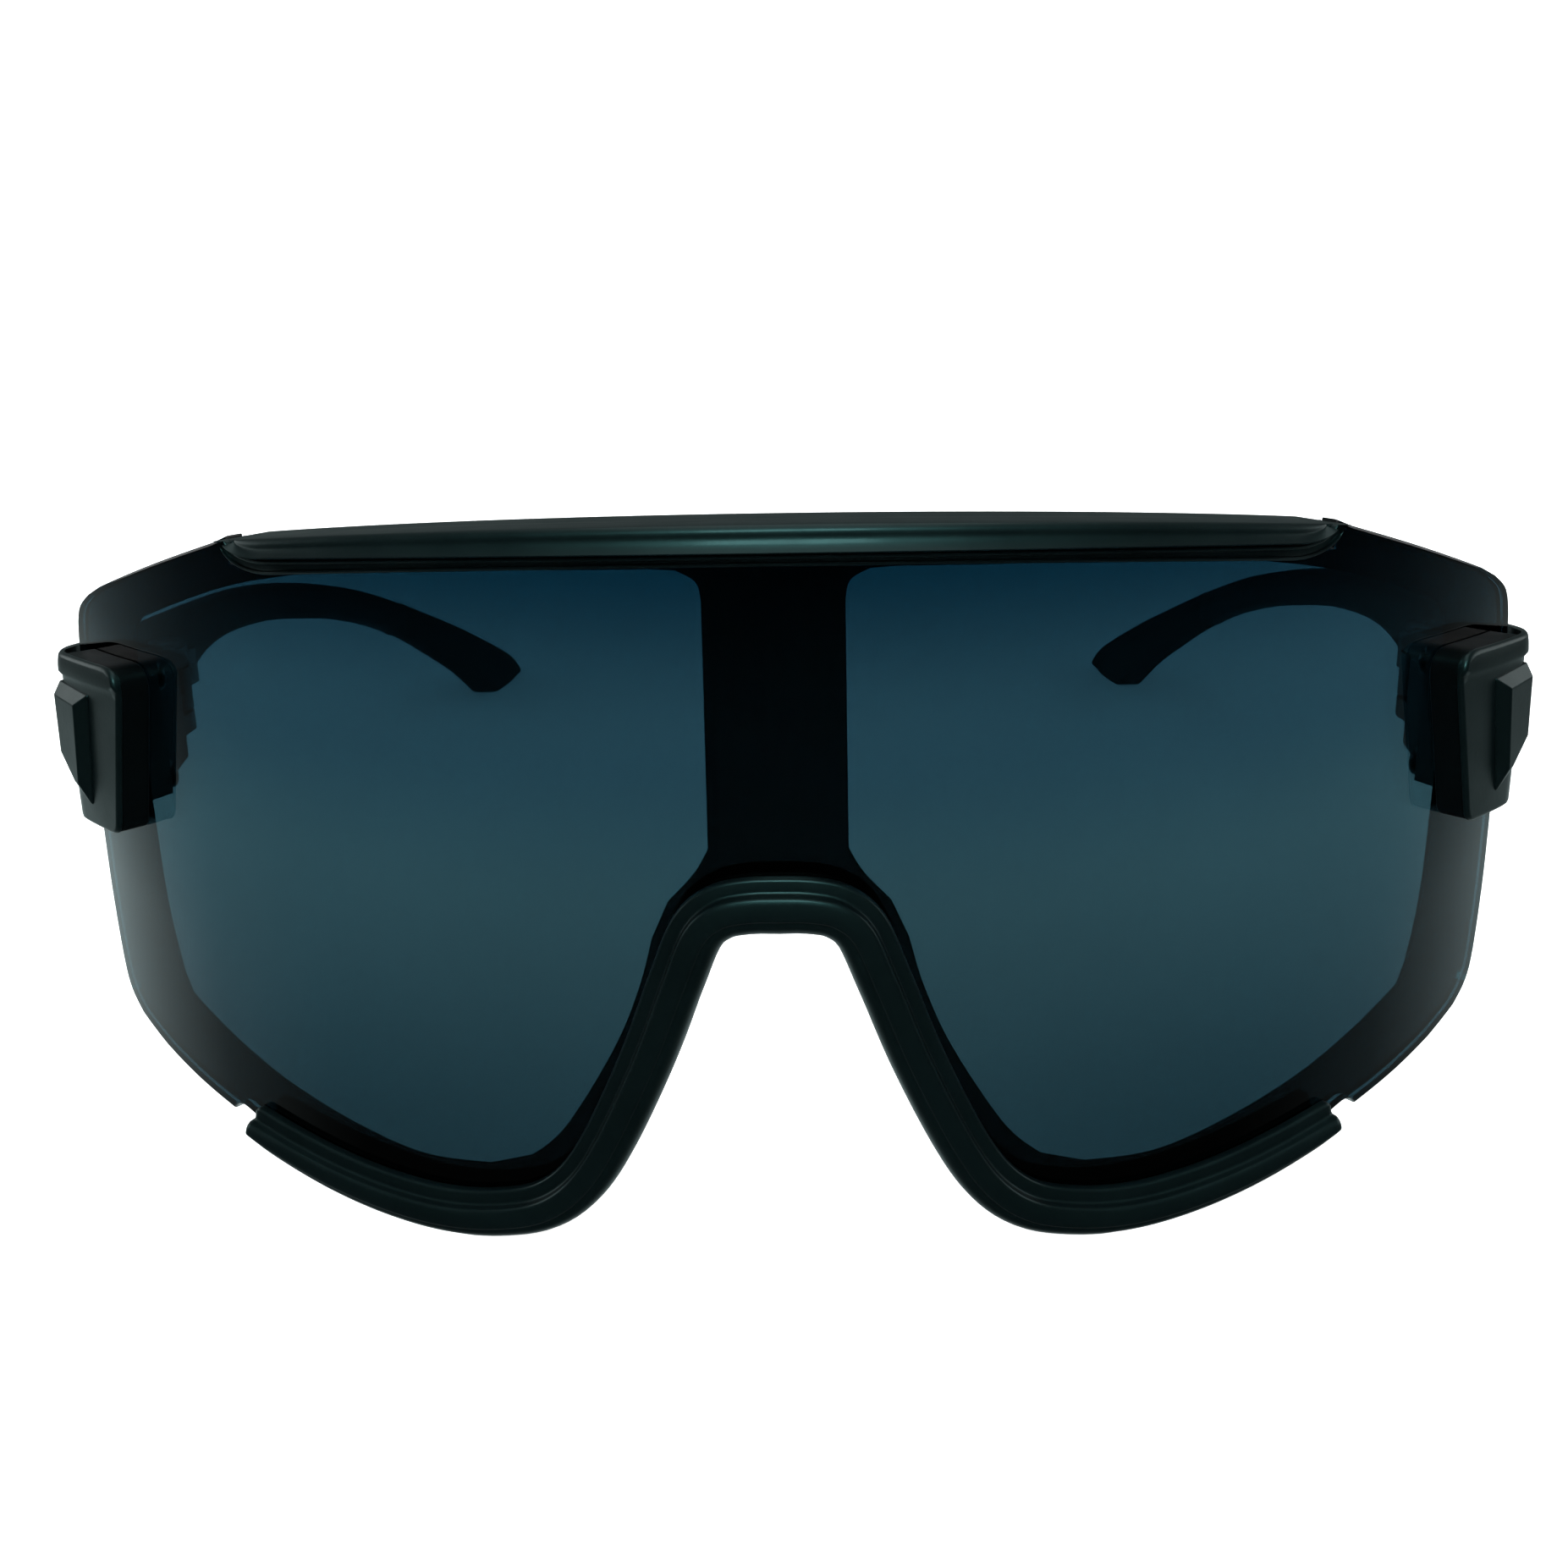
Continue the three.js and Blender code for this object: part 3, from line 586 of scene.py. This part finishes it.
def nose_pad(side, side_name):
    """A soft pad, a swollen oval that leans with the nose."""
    rings = []
    pieces = 22
    for i in range(pieces + 1):
        t = -math.cos(math.pi * i / pieces)
        swell = math.sqrt(max(1 - 0.97 * t * t, 0))
        ring = []
        for k in range(28):
            angle = 2 * math.pi * k / 28
            c, sn = math.cos(angle), math.sin(angle)
            ring.append(Vector((
                9.9 - 3 * t + 1.7 * swell * c,
                10.2 + 3.1 * swell * sn + 0.5 * t * t,
                -17.4 + 6.8 * t,
            )))
        rings.append(ring)
    obj = loft(f"nose_pad_soft_{side_name}", rings, side=side, sharp=80)
    return adopt(obj, f"nose_pad_{side_name}")


# ---- the side blocks ----
TURN_FROM = 73.6
PATH_START = 58
PATH_STEP = 0.25


def heading(u):
    """Which way the block's outer face runs, from along the lens to straight back."""
    along_lens = u / LENS_R
    shoulder = math.radians(68)
    if u < TURN_FROM:
        return along_lens
    turned = TURN_FROM / LENS_R
    turned += (shoulder - turned) * smoothstep(TURN_FROM, TURN_FROM + 2.2, u)
    return turned + (math.pi / 2 - shoulder) * smoothstep(TURN_FROM + 2.2, TURN_FROM + 9, u)


def block_path():
    """Points a step apart along the block's outer face, seen from above."""
    points = [on_lens(PATH_START, -COVER_FRONT, 0)]
    u = PATH_START
    while points[-1].y < BLOCK_END_Y + 6:
        angle = heading(u + PATH_STEP / 2)
        stretch = (LENS_R + COVER_FRONT) / LENS_R if u < TURN_FROM else 1
        points.append(points[-1] + PATH_STEP * stretch * Vector((math.cos(angle), math.sin(angle), 0)))
        u += PATH_STEP
    return points


BLOCK_PATH = block_path()
BLOCK_END_U = PATH_START + PATH_STEP * next(i for i, p in enumerate(BLOCK_PATH) if p.y > BLOCK_END_Y)


def on_block(u, depth, z):
    """A point on the block: it follows the lens, turns at the shoulder and runs back."""
    at = (u - PATH_START) / PATH_STEP
    i = max(0, min(int(at), len(BLOCK_PATH) - 2))
    p = BLOCK_PATH[i].lerp(BLOCK_PATH[i + 1], at - i)
    angle = heading(u)
    if depth > -COVER_FRONT + 0.4:
        depth += 0.6 * smoothstep(75, 79, u)
    p = p - (depth + COVER_FRONT) * Vector((math.sin(angle), -math.cos(angle), 0))
    return Vector((p.x, p.y, z))


def block_front(z):
    """Where the block's leaning front edge is at a height."""
    return 64.9 - 0.26 * z


def block_outline(end, grow=0):
    """The block's edge: short, for the pad under the cap, or all the way back to the temple."""
    corners = [
        (block_front(BLOCK_BOTTOM) - grow, BLOCK_BOTTOM - grow, 1.7),
        (min(77, end - 1), BLOCK_BOTTOM - grow, 0.8 if end < 80 else 5),
        (end, -5 if end > 80 else BLOCK_BOTTOM + 1, 1),
        (end, 6.9 if end > 80 else BLOCK_TOP - 1, 1),
        (min(76, end - 1), BLOCK_TOP + grow, 0.8 if end < 80 else 5),
        (block_front(BLOCK_TOP) - grow, BLOCK_TOP + grow, 2.5),
    ]
    return resampled(thinned(rounded(corners)), 1)


def lens_clamp(side, side_name):
    """The black pad between the lens and the cap."""
    rings = fillet(0.15, -CLAMP_FRONT, -0.05)
    obj = plate(f"lens_clamp_pad_{side_name}", [block_outline(CLAMP_END)], rings, on_lens, side=side)
    return adopt(obj, f"lens_clamp_{side_name}")


def shoulder_bead(u, z):
    """The raised roll along the block's top edge, above a crease."""
    crease = BLOCK_TOP - 2.1 - 0.1 * max(u - 76, 0)
    v = (z - crease) / 2.1
    return 0.32 * smoothstep(-0.03, 0.12, v) * (1 - 0.9 * max(v, 0) ** 2.2)


def end_cover(side, side_name):
    """The cap that wraps from the lens's face round to the temple."""
    outline = block_outline(BLOCK_END_U, 0.05)
    rings = fillet(0.42, -COVER_FRONT, -CLAMP_FRONT - 0.02, back_radius=0.04)
    obj = plate(f"end_cover_shell_{side_name}", [outline], rings, on_block, grid=(0.6, 0.45), side=side,
                relief=shoulder_bead)
    return adopt(obj, f"end_cover_{side_name}")


def cover_badge(side, side_name):
    """The plain faceted boss on the cap."""
    base = [(-0.9, 5.2), (5.2, 5.7), (6.2, -1.5), (2.6, -5.5), (1.5, -6.1), (1.3, -5.7)]
    top = [(0.35, 4.2), (4.6, 4.6), (5, -1.2), (2.5, -3.6), (1.8, -3.8), (1.6, -3.5)]
    rings = [
        [on_lens(70 + ds, -2.7, z) for ds, z in base],
        [on_lens(70 + ds, -COVER_FRONT - 0.1, z) for ds, z in base],
        [on_lens(70 + ds, -4.35, z) for ds, z in top],
    ]
    obj = loft(f"cover_badge_facets_{side_name}", rings, side=side, sharp=20)
    return adopt(bevelled(obj, 0.00016, 3, 15), f"cover_badge_{side_name}")


# ---- hinges and screws ----
def softened(node, width, look=None):
    """A finer copy of a CAD piece, with its flat faces whole and its edges rounded."""
    source = frame["nodes"][node]
    mesh = bpy.data.meshes.new(node + "_soft")
    bm = bmesh.new()
    bm.from_mesh(source.data)
    bmesh.ops.remove_doubles(bm, verts=bm.verts, dist=1e-6)
    bmesh.ops.dissolve_limit(bm, angle_limit=math.radians(2), verts=bm.verts, edges=bm.edges)
    bm.to_mesh(mesh)
    bm.free()
    mesh.shade_smooth()
    mesh.set_sharp_from_angle(angle=math.radians(35))
    obj = bpy.data.objects.new(node + "_soft", mesh)
    bpy.context.scene.collection.objects.link(obj)
    return adopt(bevelled(obj, width, 2, 35), node, look)


def screw(name, node, turned, side, shank, head, length):
    """A pan-head screw with a six-lobed socket, turned(r, angle, along) giving its points."""
    count = 48

    def plain(radius):
        return [radius] * count

    lobes = [head * (0.5 + 0.07 * math.cos(12 * math.pi * k / count)) for k in range(count)]
    steps = [
        (plain(shank * 0.8), 0), (plain(shank), 0.15), (plain(shank), length), (plain(head * 0.97), length),
        (plain(head), length + 0.08), (plain(head), length + 0.4), (plain(head * 0.95), length + 0.6),
        (plain(head * 0.82), length + 0.72), (plain(head * 0.62), length + 0.76), (lobes, length + 0.76),
        ([r * 0.94 for r in lobes], length + 0.3),
    ]
    rings = [[turned(r[k], 2 * math.pi * k / count, along) for k in range(count)] for r, along in steps]
    return adopt(loft(name, rings, side=side, sharp=30), node)


def clamp_screw(side, side_name, height_name, z):
    """One of the two screws from the bracket through the lens's edge into the cap."""
    start = -2.2
    turn = CLAMP_SCREW_AT / LENS_R

    def turned(r, angle, along):
        return on_lens(CLAMP_SCREW_AT, start + along, z) + r * (
            math.cos(angle) * Vector((math.cos(turn), math.sin(turn), 0))
            + math.sin(angle) * Vector((0, 0, 1))
        )
    node = f"clamp_screw_{height_name}_{side_name}"
    return screw(node + "_turned", node, turned, side, 0.7, 1.5, 5.75 - start)


def hinge_screw(side, side_name):
    """The hinge's upright pin, with its head on top."""
    foot = HINGE - Vector((0, 0, 4.2))

    def turned(r, angle, along):
        return foot + Vector((r * math.cos(angle), r * math.sin(angle), along))
    node = f"hinge_screw_{side_name}"
    return screw(node + "_turned", node, turned, side, 0.8, 1.75, 8.75)


# ---- the temples: side profile and thickness against the distance back ----
temple_upper = through([
    (42, 6.9), (50, 6.9), (60, 6.9), (70, 6.6), (80, 5.5), (90, 3.5), (100, 0.9), (110, -2.6),
    (120, -6.7), (130, -11.2), (140, -16.4), (143, -18.4), (TEMPLE_END_Y, -20.3),
])
temple_lower = through([
    (42, -4.6), (46, -4), (50, -2.4), (54, -0.3), (58, 1.2), (63, 2), (70, 2), (78, 1.2),
    (86, -0.3), (95, -2.2), (105, -5.2), (115, -9.4), (124, -14.4), (130, -18.1), (134, -21.2),
    (137, -23.4), (140, -23.4), (142.5, -22.4), (TEMPLE_END_Y, -21.4),
])
temple_thickness = through([(42, 4.6), (56, 3.7), (70, 3.4), (TEMPLE_END_Y, 4)])


def temple_middle(y):
    """How far out the temple's middle is: it bows in towards its end."""
    return 69.4 - 0.03 * (y - 42) - 0.0016 * (y - 42) ** 2


def temple_ring(y, inset, at_y=None):
    """A round-cornered section of the temple at y, moved to at_y if that is given."""
    half = temple_thickness(y) / 2 - inset
    high = temple_upper(y) - inset
    low = temple_lower(y) + inset
    r = min(1.1, 0.75 * half, 0.45 * (high - low))
    x = temple_middle(y)
    ring = []
    for cx, cz, start in ((half, high, 0), (-half, high, 90), (-half, low, 180), (half, low, 270)):
        for k in range(6):
            a = math.radians(start + 90 * k / 5)
            ring.append(Vector((
                x + cx - math.copysign(r, cx) + r * math.cos(a),
                y if at_y is None else at_y,
                cz - (r if start < 180 else -r) + r * math.sin(a),
            )))
    return ring


def temple_body(name, start, end, step, side, neck=0):
    """A length of the temple with softened ends, and a narrow neck past its end if asked for."""
    count = math.ceil((end - start) / step)
    ys = [start + (end - start) * i / count for i in range(count + 1)]
    rings = [temple_ring(start, d, start + e) for d, e in ((0.45, 0), (0.13, 0.13), (0, 0.45))]
    rings += [temple_ring(y, 0) for y in ys[1:-1]]
    rings += [temple_ring(end, d, end - e) for d, e in ((0, 0.45), (0.13, 0.13), (0.45, 0))]
    if neck:
        rings += [temple_ring(end, NECK_INSET, end), temple_ring(end, NECK_INSET, end + neck)]
    return loft(name, rings, side=side, sharp=60)


def temple(side, side_name):
    """The bare arm, from the hinge to the sleeve."""
    obj = temple_body(f"temple_arm_{side_name}", TEMPLE_Y, SLEEVE_Y, 1.6, side, NECK)
    return adopt(obj, f"temple_{side_name}")


def temple_sleeve(side, side_name):
    """The soft end of the arm, flat where it stands on the table."""
    obj = temple_body(f"temple_grip_{side_name}", SLEEVE_Y + SLEEVE_GAP, TEMPLE_END_Y, 1.3, side)
    return adopt(on_table(obj), f"temple_sleeve_{side_name}")


# ---- materials ----
def add_node(tree, kind, **inputs):
    """A node with some of its inputs set, From_Min standing for "From Min"."""
    node = tree.nodes.new(kind)
    for name, value in inputs.items():
        node.inputs[name.replace("_", " ")].default_value = value
    return node


def object_coordinates(tree, stretch=(1, 1, 1)):
    """The piece's own coordinates, in metres, stretched along each axis."""
    coordinates = tree.nodes.new("ShaderNodeTexCoord")
    mapping = add_node(tree, "ShaderNodeMapping", Scale=stretch)
    tree.links.new(coordinates.outputs["Object"], mapping.inputs["Vector"])
    return mapping.outputs["Vector"]


def noise(tree, vector, scale, detail=3, roughness=0.55):
    """A noise pattern's value, about 0.5 on average."""
    node = add_node(tree, "ShaderNodeTexNoise", Scale=scale, Detail=detail, Roughness=roughness)
    tree.links.new(vector, node.inputs["Vector"])
    return node.outputs["Fac"]


def ramp(tree, value, stops, kind="EASE"):
    """A colour ramp through (position, linear colour) stops."""
    node = tree.nodes.new("ShaderNodeValToRGB")
    node.color_ramp.interpolation = kind
    while len(node.color_ramp.elements) < len(stops):
        node.color_ramp.elements.new(0.5)
    for element, (position, colour) in zip(node.color_ramp.elements, stops):
        element.position = position
        element.color = (*colour, 1)
    tree.links.new(value, node.inputs["Fac"])
    return node.outputs["Color"]


def combined(tree, operation, a, b):
    """One arithmetic operation on two values."""
    node = tree.nodes.new("ShaderNodeMath")
    node.operation = operation
    tree.links.new(a, node.inputs[0])
    tree.links.new(b, node.inputs[1])
    return node.outputs["Value"]


def to_range(tree, value, low, high, to_low, to_high):
    """A value carried from one range to another and held inside it."""
    node = add_node(tree, "ShaderNodeMapRange", From_Min=low, From_Max=high, To_Min=to_low, To_Max=to_high)
    tree.links.new(value, node.inputs["Value"])
    return node.outputs["Result"]


def new_material(name):
    """A material, its tree and its main shader."""
    material = bpy.data.materials.new(name)
    material.use_nodes = True
    return material, material.node_tree, material.node_tree.nodes["Principled BSDF"]


def solid_finish(name, colour, rough, grain, grain_height, shine=0.5, metallic=0, coat=0, stretch=(1, 1, 1)):
    """A moulded or turned surface: slow drifts in colour and sheen, and a fine grain."""
    LOOKS[name], tree, shader = new_material("fine_" + name)
    shader.inputs["Metallic"].default_value = metallic
    shader.inputs["IOR"].default_value = 1.5
    shader.inputs["Specular IOR Level"].default_value = shine
    if not metallic:
        shader.inputs["Specular Tint"].default_value = (0.55, 1, 0.99, 1)
    shader.inputs["Coat Weight"].default_value = coat
    shader.inputs["Coat Roughness"].default_value = 0.12
    vector = object_coordinates(tree, stretch)
    slow = noise(tree, vector, 45)
    worn = tuple(1.45 * c for c in colour)
    deep = tuple(0.7 * c for c in colour)
    tree.links.new(ramp(tree, slow, [(0.25, deep), (0.5, colour), (0.8, worn)]), shader.inputs["Base Color"])
    smudges = noise(tree, vector, 160, 4)
    tree.links.new(to_range(tree, smudges, 0.3, 0.7, rough - 0.05, rough + 0.06), shader.inputs["Roughness"])
    bump = add_node(tree, "ShaderNodeBump", Strength=0.35, Distance=grain_height / 1000)
    tree.links.new(noise(tree, vector, grain, 2), bump.inputs["Height"])
    tree.links.new(bump.outputs["Normal"], shader.inputs["Normal"])


def lens_tint():
    """Tinted polycarbonate in teal, with painted shade of the background seen through it: darker at the top,
    clearer towards the middle.
    """
    LOOKS["lens_tint"], tree, shader = new_material("fine_lens_tint_painted_shade")
    shader.inputs["Transmission Weight"].default_value = 1
    shader.inputs["IOR"].default_value = 1.45
    shader.inputs["Coat Weight"].default_value = 0
    vector = object_coordinates(tree)
    split = tree.nodes.new("ShaderNodeSeparateXYZ")
    tree.links.new(vector, split.inputs["Vector"])
    height = to_range(tree, split.outputs["Z"], 0.005, 0.062, 0, 1)
    # painted shade: the lens's own teal, darkest at the top and a little darker at the bottom, for the shaded
    # background seen through the lens
    tint_and_painted_shade = ramp(tree, height, [
        (0, (0.0085, 0.026, 0.0355)), (0.45, (0.014, 0.038, 0.0486)), (0.7, (0.009, 0.029, 0.042)),
        (1, (0.0006, 0.009, 0.0175)),
    ])
    tree.links.new(tint_and_painted_shade, shader.inputs["Base Color"])
    smudges = noise(tree, vector, 90, 4)
    tree.links.new(to_range(tree, smudges, 0.35, 0.75, 0.008, 0.03), shader.inputs["Roughness"])


def make_materials():
    """One material for each of the record's slots, and one more for the hinge brackets."""
    lens_tint()
    solid_finish("border_black", (0.003, 0.004, 0.005), 0.5, 900, 0.01, shine=0.25)
    solid_finish("frame_satin", (0.001, 0.0026, 0.0031), 0.36, 2600, 0.02, coat=0.1)
    solid_finish("inner_black", (0.0009, 0.0011, 0.0014), 0.42, 2600, 0.015, shine=0.16)
    solid_finish("temple_black", (0.0015, 0.0025, 0.0034), 0.4, 2400, 0.025)
    solid_finish("soft_rubber", (0.004, 0.005, 0.006), 0.62, 1700, 0.05)
    solid_finish("bracket_grey", (0.085, 0.09, 0.094), 0.4, 2600, 0.015, shine=0.4)
    solid_finish("screw_steel", (0.42, 0.43, 0.44), 0.3, 3000, 0.01, metallic=1, stretch=(1, 1, 4))


# ---- studio ----
def stage_material(name, colour, roughness, glow):
    """A plain matt material that gives off some light of its own."""
    material, _, shader = new_material(name)
    shader.inputs["Base Color"].default_value = (*colour, 1)
    shader.inputs["Emission Color"].default_value = (1, 1, 1, 1)
    shader.inputs["Emission Strength"].default_value = glow
    shader.inputs["Roughness"].default_value = roughness
    shader.inputs["Specular IOR Level"].default_value = 0.1
    return material


def studio_floor():
    """A pale floor that curves up into a wall all round."""
    radius, cove, height, count = 2, 0.7, 2.2, 96
    profile = [(0.05, 0)]
    for k in range(13):
        a = math.pi / 2 * k / 12
        profile.append((radius - cove + cove * math.sin(a), cove - cove * math.cos(a)))
    profile.append((radius, height))
    points = [(0, 0, 0)] + [
        (r * math.cos(2 * math.pi * k / count), r * math.sin(2 * math.pi * k / count), z)
        for r, z in profile for k in range(count)
    ]
    faces = []
    for k in range(count):
        ahead = (k + 1) % count
        faces.append((0, 1 + k, 1 + ahead))
        for i in range(len(profile) - 1):
            low, high = 1 + i * count, 1 + (i + 1) * count
            faces.append((low + k, high + k, high + ahead, low + ahead))
    mesh = bpy.data.meshes.new("studio_floor")
    mesh.from_pydata(points, [], faces)
    mesh.shade_smooth()
    floor = bpy.data.objects.new("studio_floor", mesh)
    bpy.context.scene.collection.objects.link(floor)
    mesh.materials.append(stage_material("floor_pale", (0.86, 0.86, 0.86), 0.9, 0.78))
    floor.visible_glossy = False


def soft_light(name, place_at, target, width, height, watts, colour=(1, 1, 1)):
    """An area light, in metres, turned to a target and hidden from the camera."""
    light = bpy.data.lights.new(name, "AREA")
    light.shape = "RECTANGLE"
    light.size = width
    light.size_y = height
    light.energy = watts
    light.color = colour
    light.spread = math.pi
    obj = bpy.data.objects.new(name, light)
    bpy.context.scene.collection.objects.link(obj)
    away = Vector(place_at) - Vector(target)
    obj.matrix_world = Matrix.Translation(place_at) @ away.to_track_quat("Z", "Y").to_matrix().to_4x4()
    obj.visible_camera = False
    return obj


def add_lights():
    """A long softbox overhead, a small teal one high in front, and one to each side."""
    middle = (0, 0, 0.03)
    soft_light("overhead_softbox", (0, 0.2, 1.2), middle, 0.7, 1.6, 1.9)
    soft_light("front_top_strip", (0, -0.62, 0.78), middle, 0.34, 0.3, 2.6, (0.6, 1, 1))
    soft_light("left_fill", (1, 0.3, 0.35), middle, 0.7, 0.5, 1.2)
    soft_light("right_fill", (-1, 0.3, 0.35), middle, 0.7, 0.5, 1.2)


def add_world():
    """A dim room: black in front, paler to the back and below, with a pale strip overhead."""
    world = bpy.data.worlds.new("studio")
    bpy.context.scene.world = world
    world.use_nodes = True
    tree = world.node_tree
    coordinates = tree.nodes.new("ShaderNodeTexCoord")
    split = tree.nodes.new("ShaderNodeSeparateXYZ")
    tree.links.new(coordinates.outputs["Generated"], split.inputs["Vector"])

    def graded(axis, stops):
        whole = to_range(tree, split.outputs[axis], -1, 1, 0, 1)
        return ramp(tree, whole, [((at + 1) / 2, (v, v, v)) for at, v in stops], "LINEAR")

    back = graded("Y", [(-0.4, 0.02), (-0.3, 0.05), (0, 0.2), (0.2, 0.48), (0.5, 0.95), (1, 1)])
    low = graded("Z", [
        (-0.5, 0.7), (-0.37, 1), (-0.3, 0.65), (-0.22, 0.28), (-0.1, 0.14), (0.3, 0.16), (0.6, 0.05),
    ])
    left = graded("X", [(-0.9, 1), (0.9, 0.58)])
    above = graded("Z", [(0.3, 0), (0.9, 0.3)])
    centred = graded("X", [(-0.45, 0.25), (-0.1, 1), (0.1, 1), (0.45, 0.25)])
    walls = combined(tree, "MULTIPLY", combined(tree, "MULTIPLY", back, low), left)
    background = tree.nodes["Background"]
    background.inputs["Color"].default_value = (0.82, 1, 1, 1)
    overhead = combined(tree, "MULTIPLY", above, centred)
    tree.links.new(combined(tree, "ADD", walls, overhead), background.inputs["Strength"])


# The camera, in the wearing frame.
CAMERA_AT = Vector((4.68, -129.73, 42.35))
CAMERA_YAW = math.radians(-1.786)
CAMERA_PITCH = math.radians(17)
CAMERA_ROLL = math.radians(-1.111)
SENSOR_WIDTH = 36
FOCAL_LENGTH = 38.856


def add_camera():
    """The camera, yawed, pitched down and then rolled about its own line of sight."""
    data = bpy.data.cameras.new("photo_camera")
    data.sensor_width = SENSOR_WIDTH
    data.lens = FOCAL_LENGTH
    data.clip_start = 0.01
    data.clip_end = 20
    camera = bpy.data.objects.new("photo_camera", data)
    bpy.context.scene.collection.objects.link(camera)
    forward = LEAN @ Vector((
        math.sin(CAMERA_YAW) * math.cos(CAMERA_PITCH),
        math.cos(CAMERA_YAW) * math.cos(CAMERA_PITCH),
        -math.sin(CAMERA_PITCH),
    ))
    level = LEAN @ Vector((math.cos(CAMERA_YAW), -math.sin(CAMERA_YAW), 0))
    upright = level.cross(forward)
    c, s = math.cos(CAMERA_ROLL), math.sin(CAMERA_ROLL)
    right = c * level + s * upright
    up = c * upright - s * level
    matrix = Matrix((right, up, -forward)).transposed().to_4x4()
    matrix.translation = place(CAMERA_AT)
    camera.matrix_world = matrix
    bpy.context.scene.camera = camera


# ---- build ----
def build():
    """Makes the materials and then every piece, each standing for one CAD node."""
    make_materials()
    lens_shield()
    border_mask()
    brow_channel()
    brow_cover()
    lower_rim()
    nose_bracket()
    for side_name, side in SIDES.items():
        nose_pad(side, side_name)
        lens_clamp(side, side_name)
        end_cover(side, side_name)
        cover_badge(side, side_name)
        softened(f"hinge_bracket_{side_name}", 0.00018, "bracket_grey")
        softened(f"hinge_leaf_{side_name}", 0.00018)
        clamp_screw(side, side_name, "upper", 5)
        clamp_screw(side, side_name, "lower", -5)
        hinge_screw(side, side_name)
        temple(side, side_name)
        temple_sleeve(side, side_name)


build()
studio_floor()
add_lights()
add_world()
add_camera()
bpy.context.scene.view_settings.view_transform = "Standard"
bpy.context.scene.view_settings.look = "None"
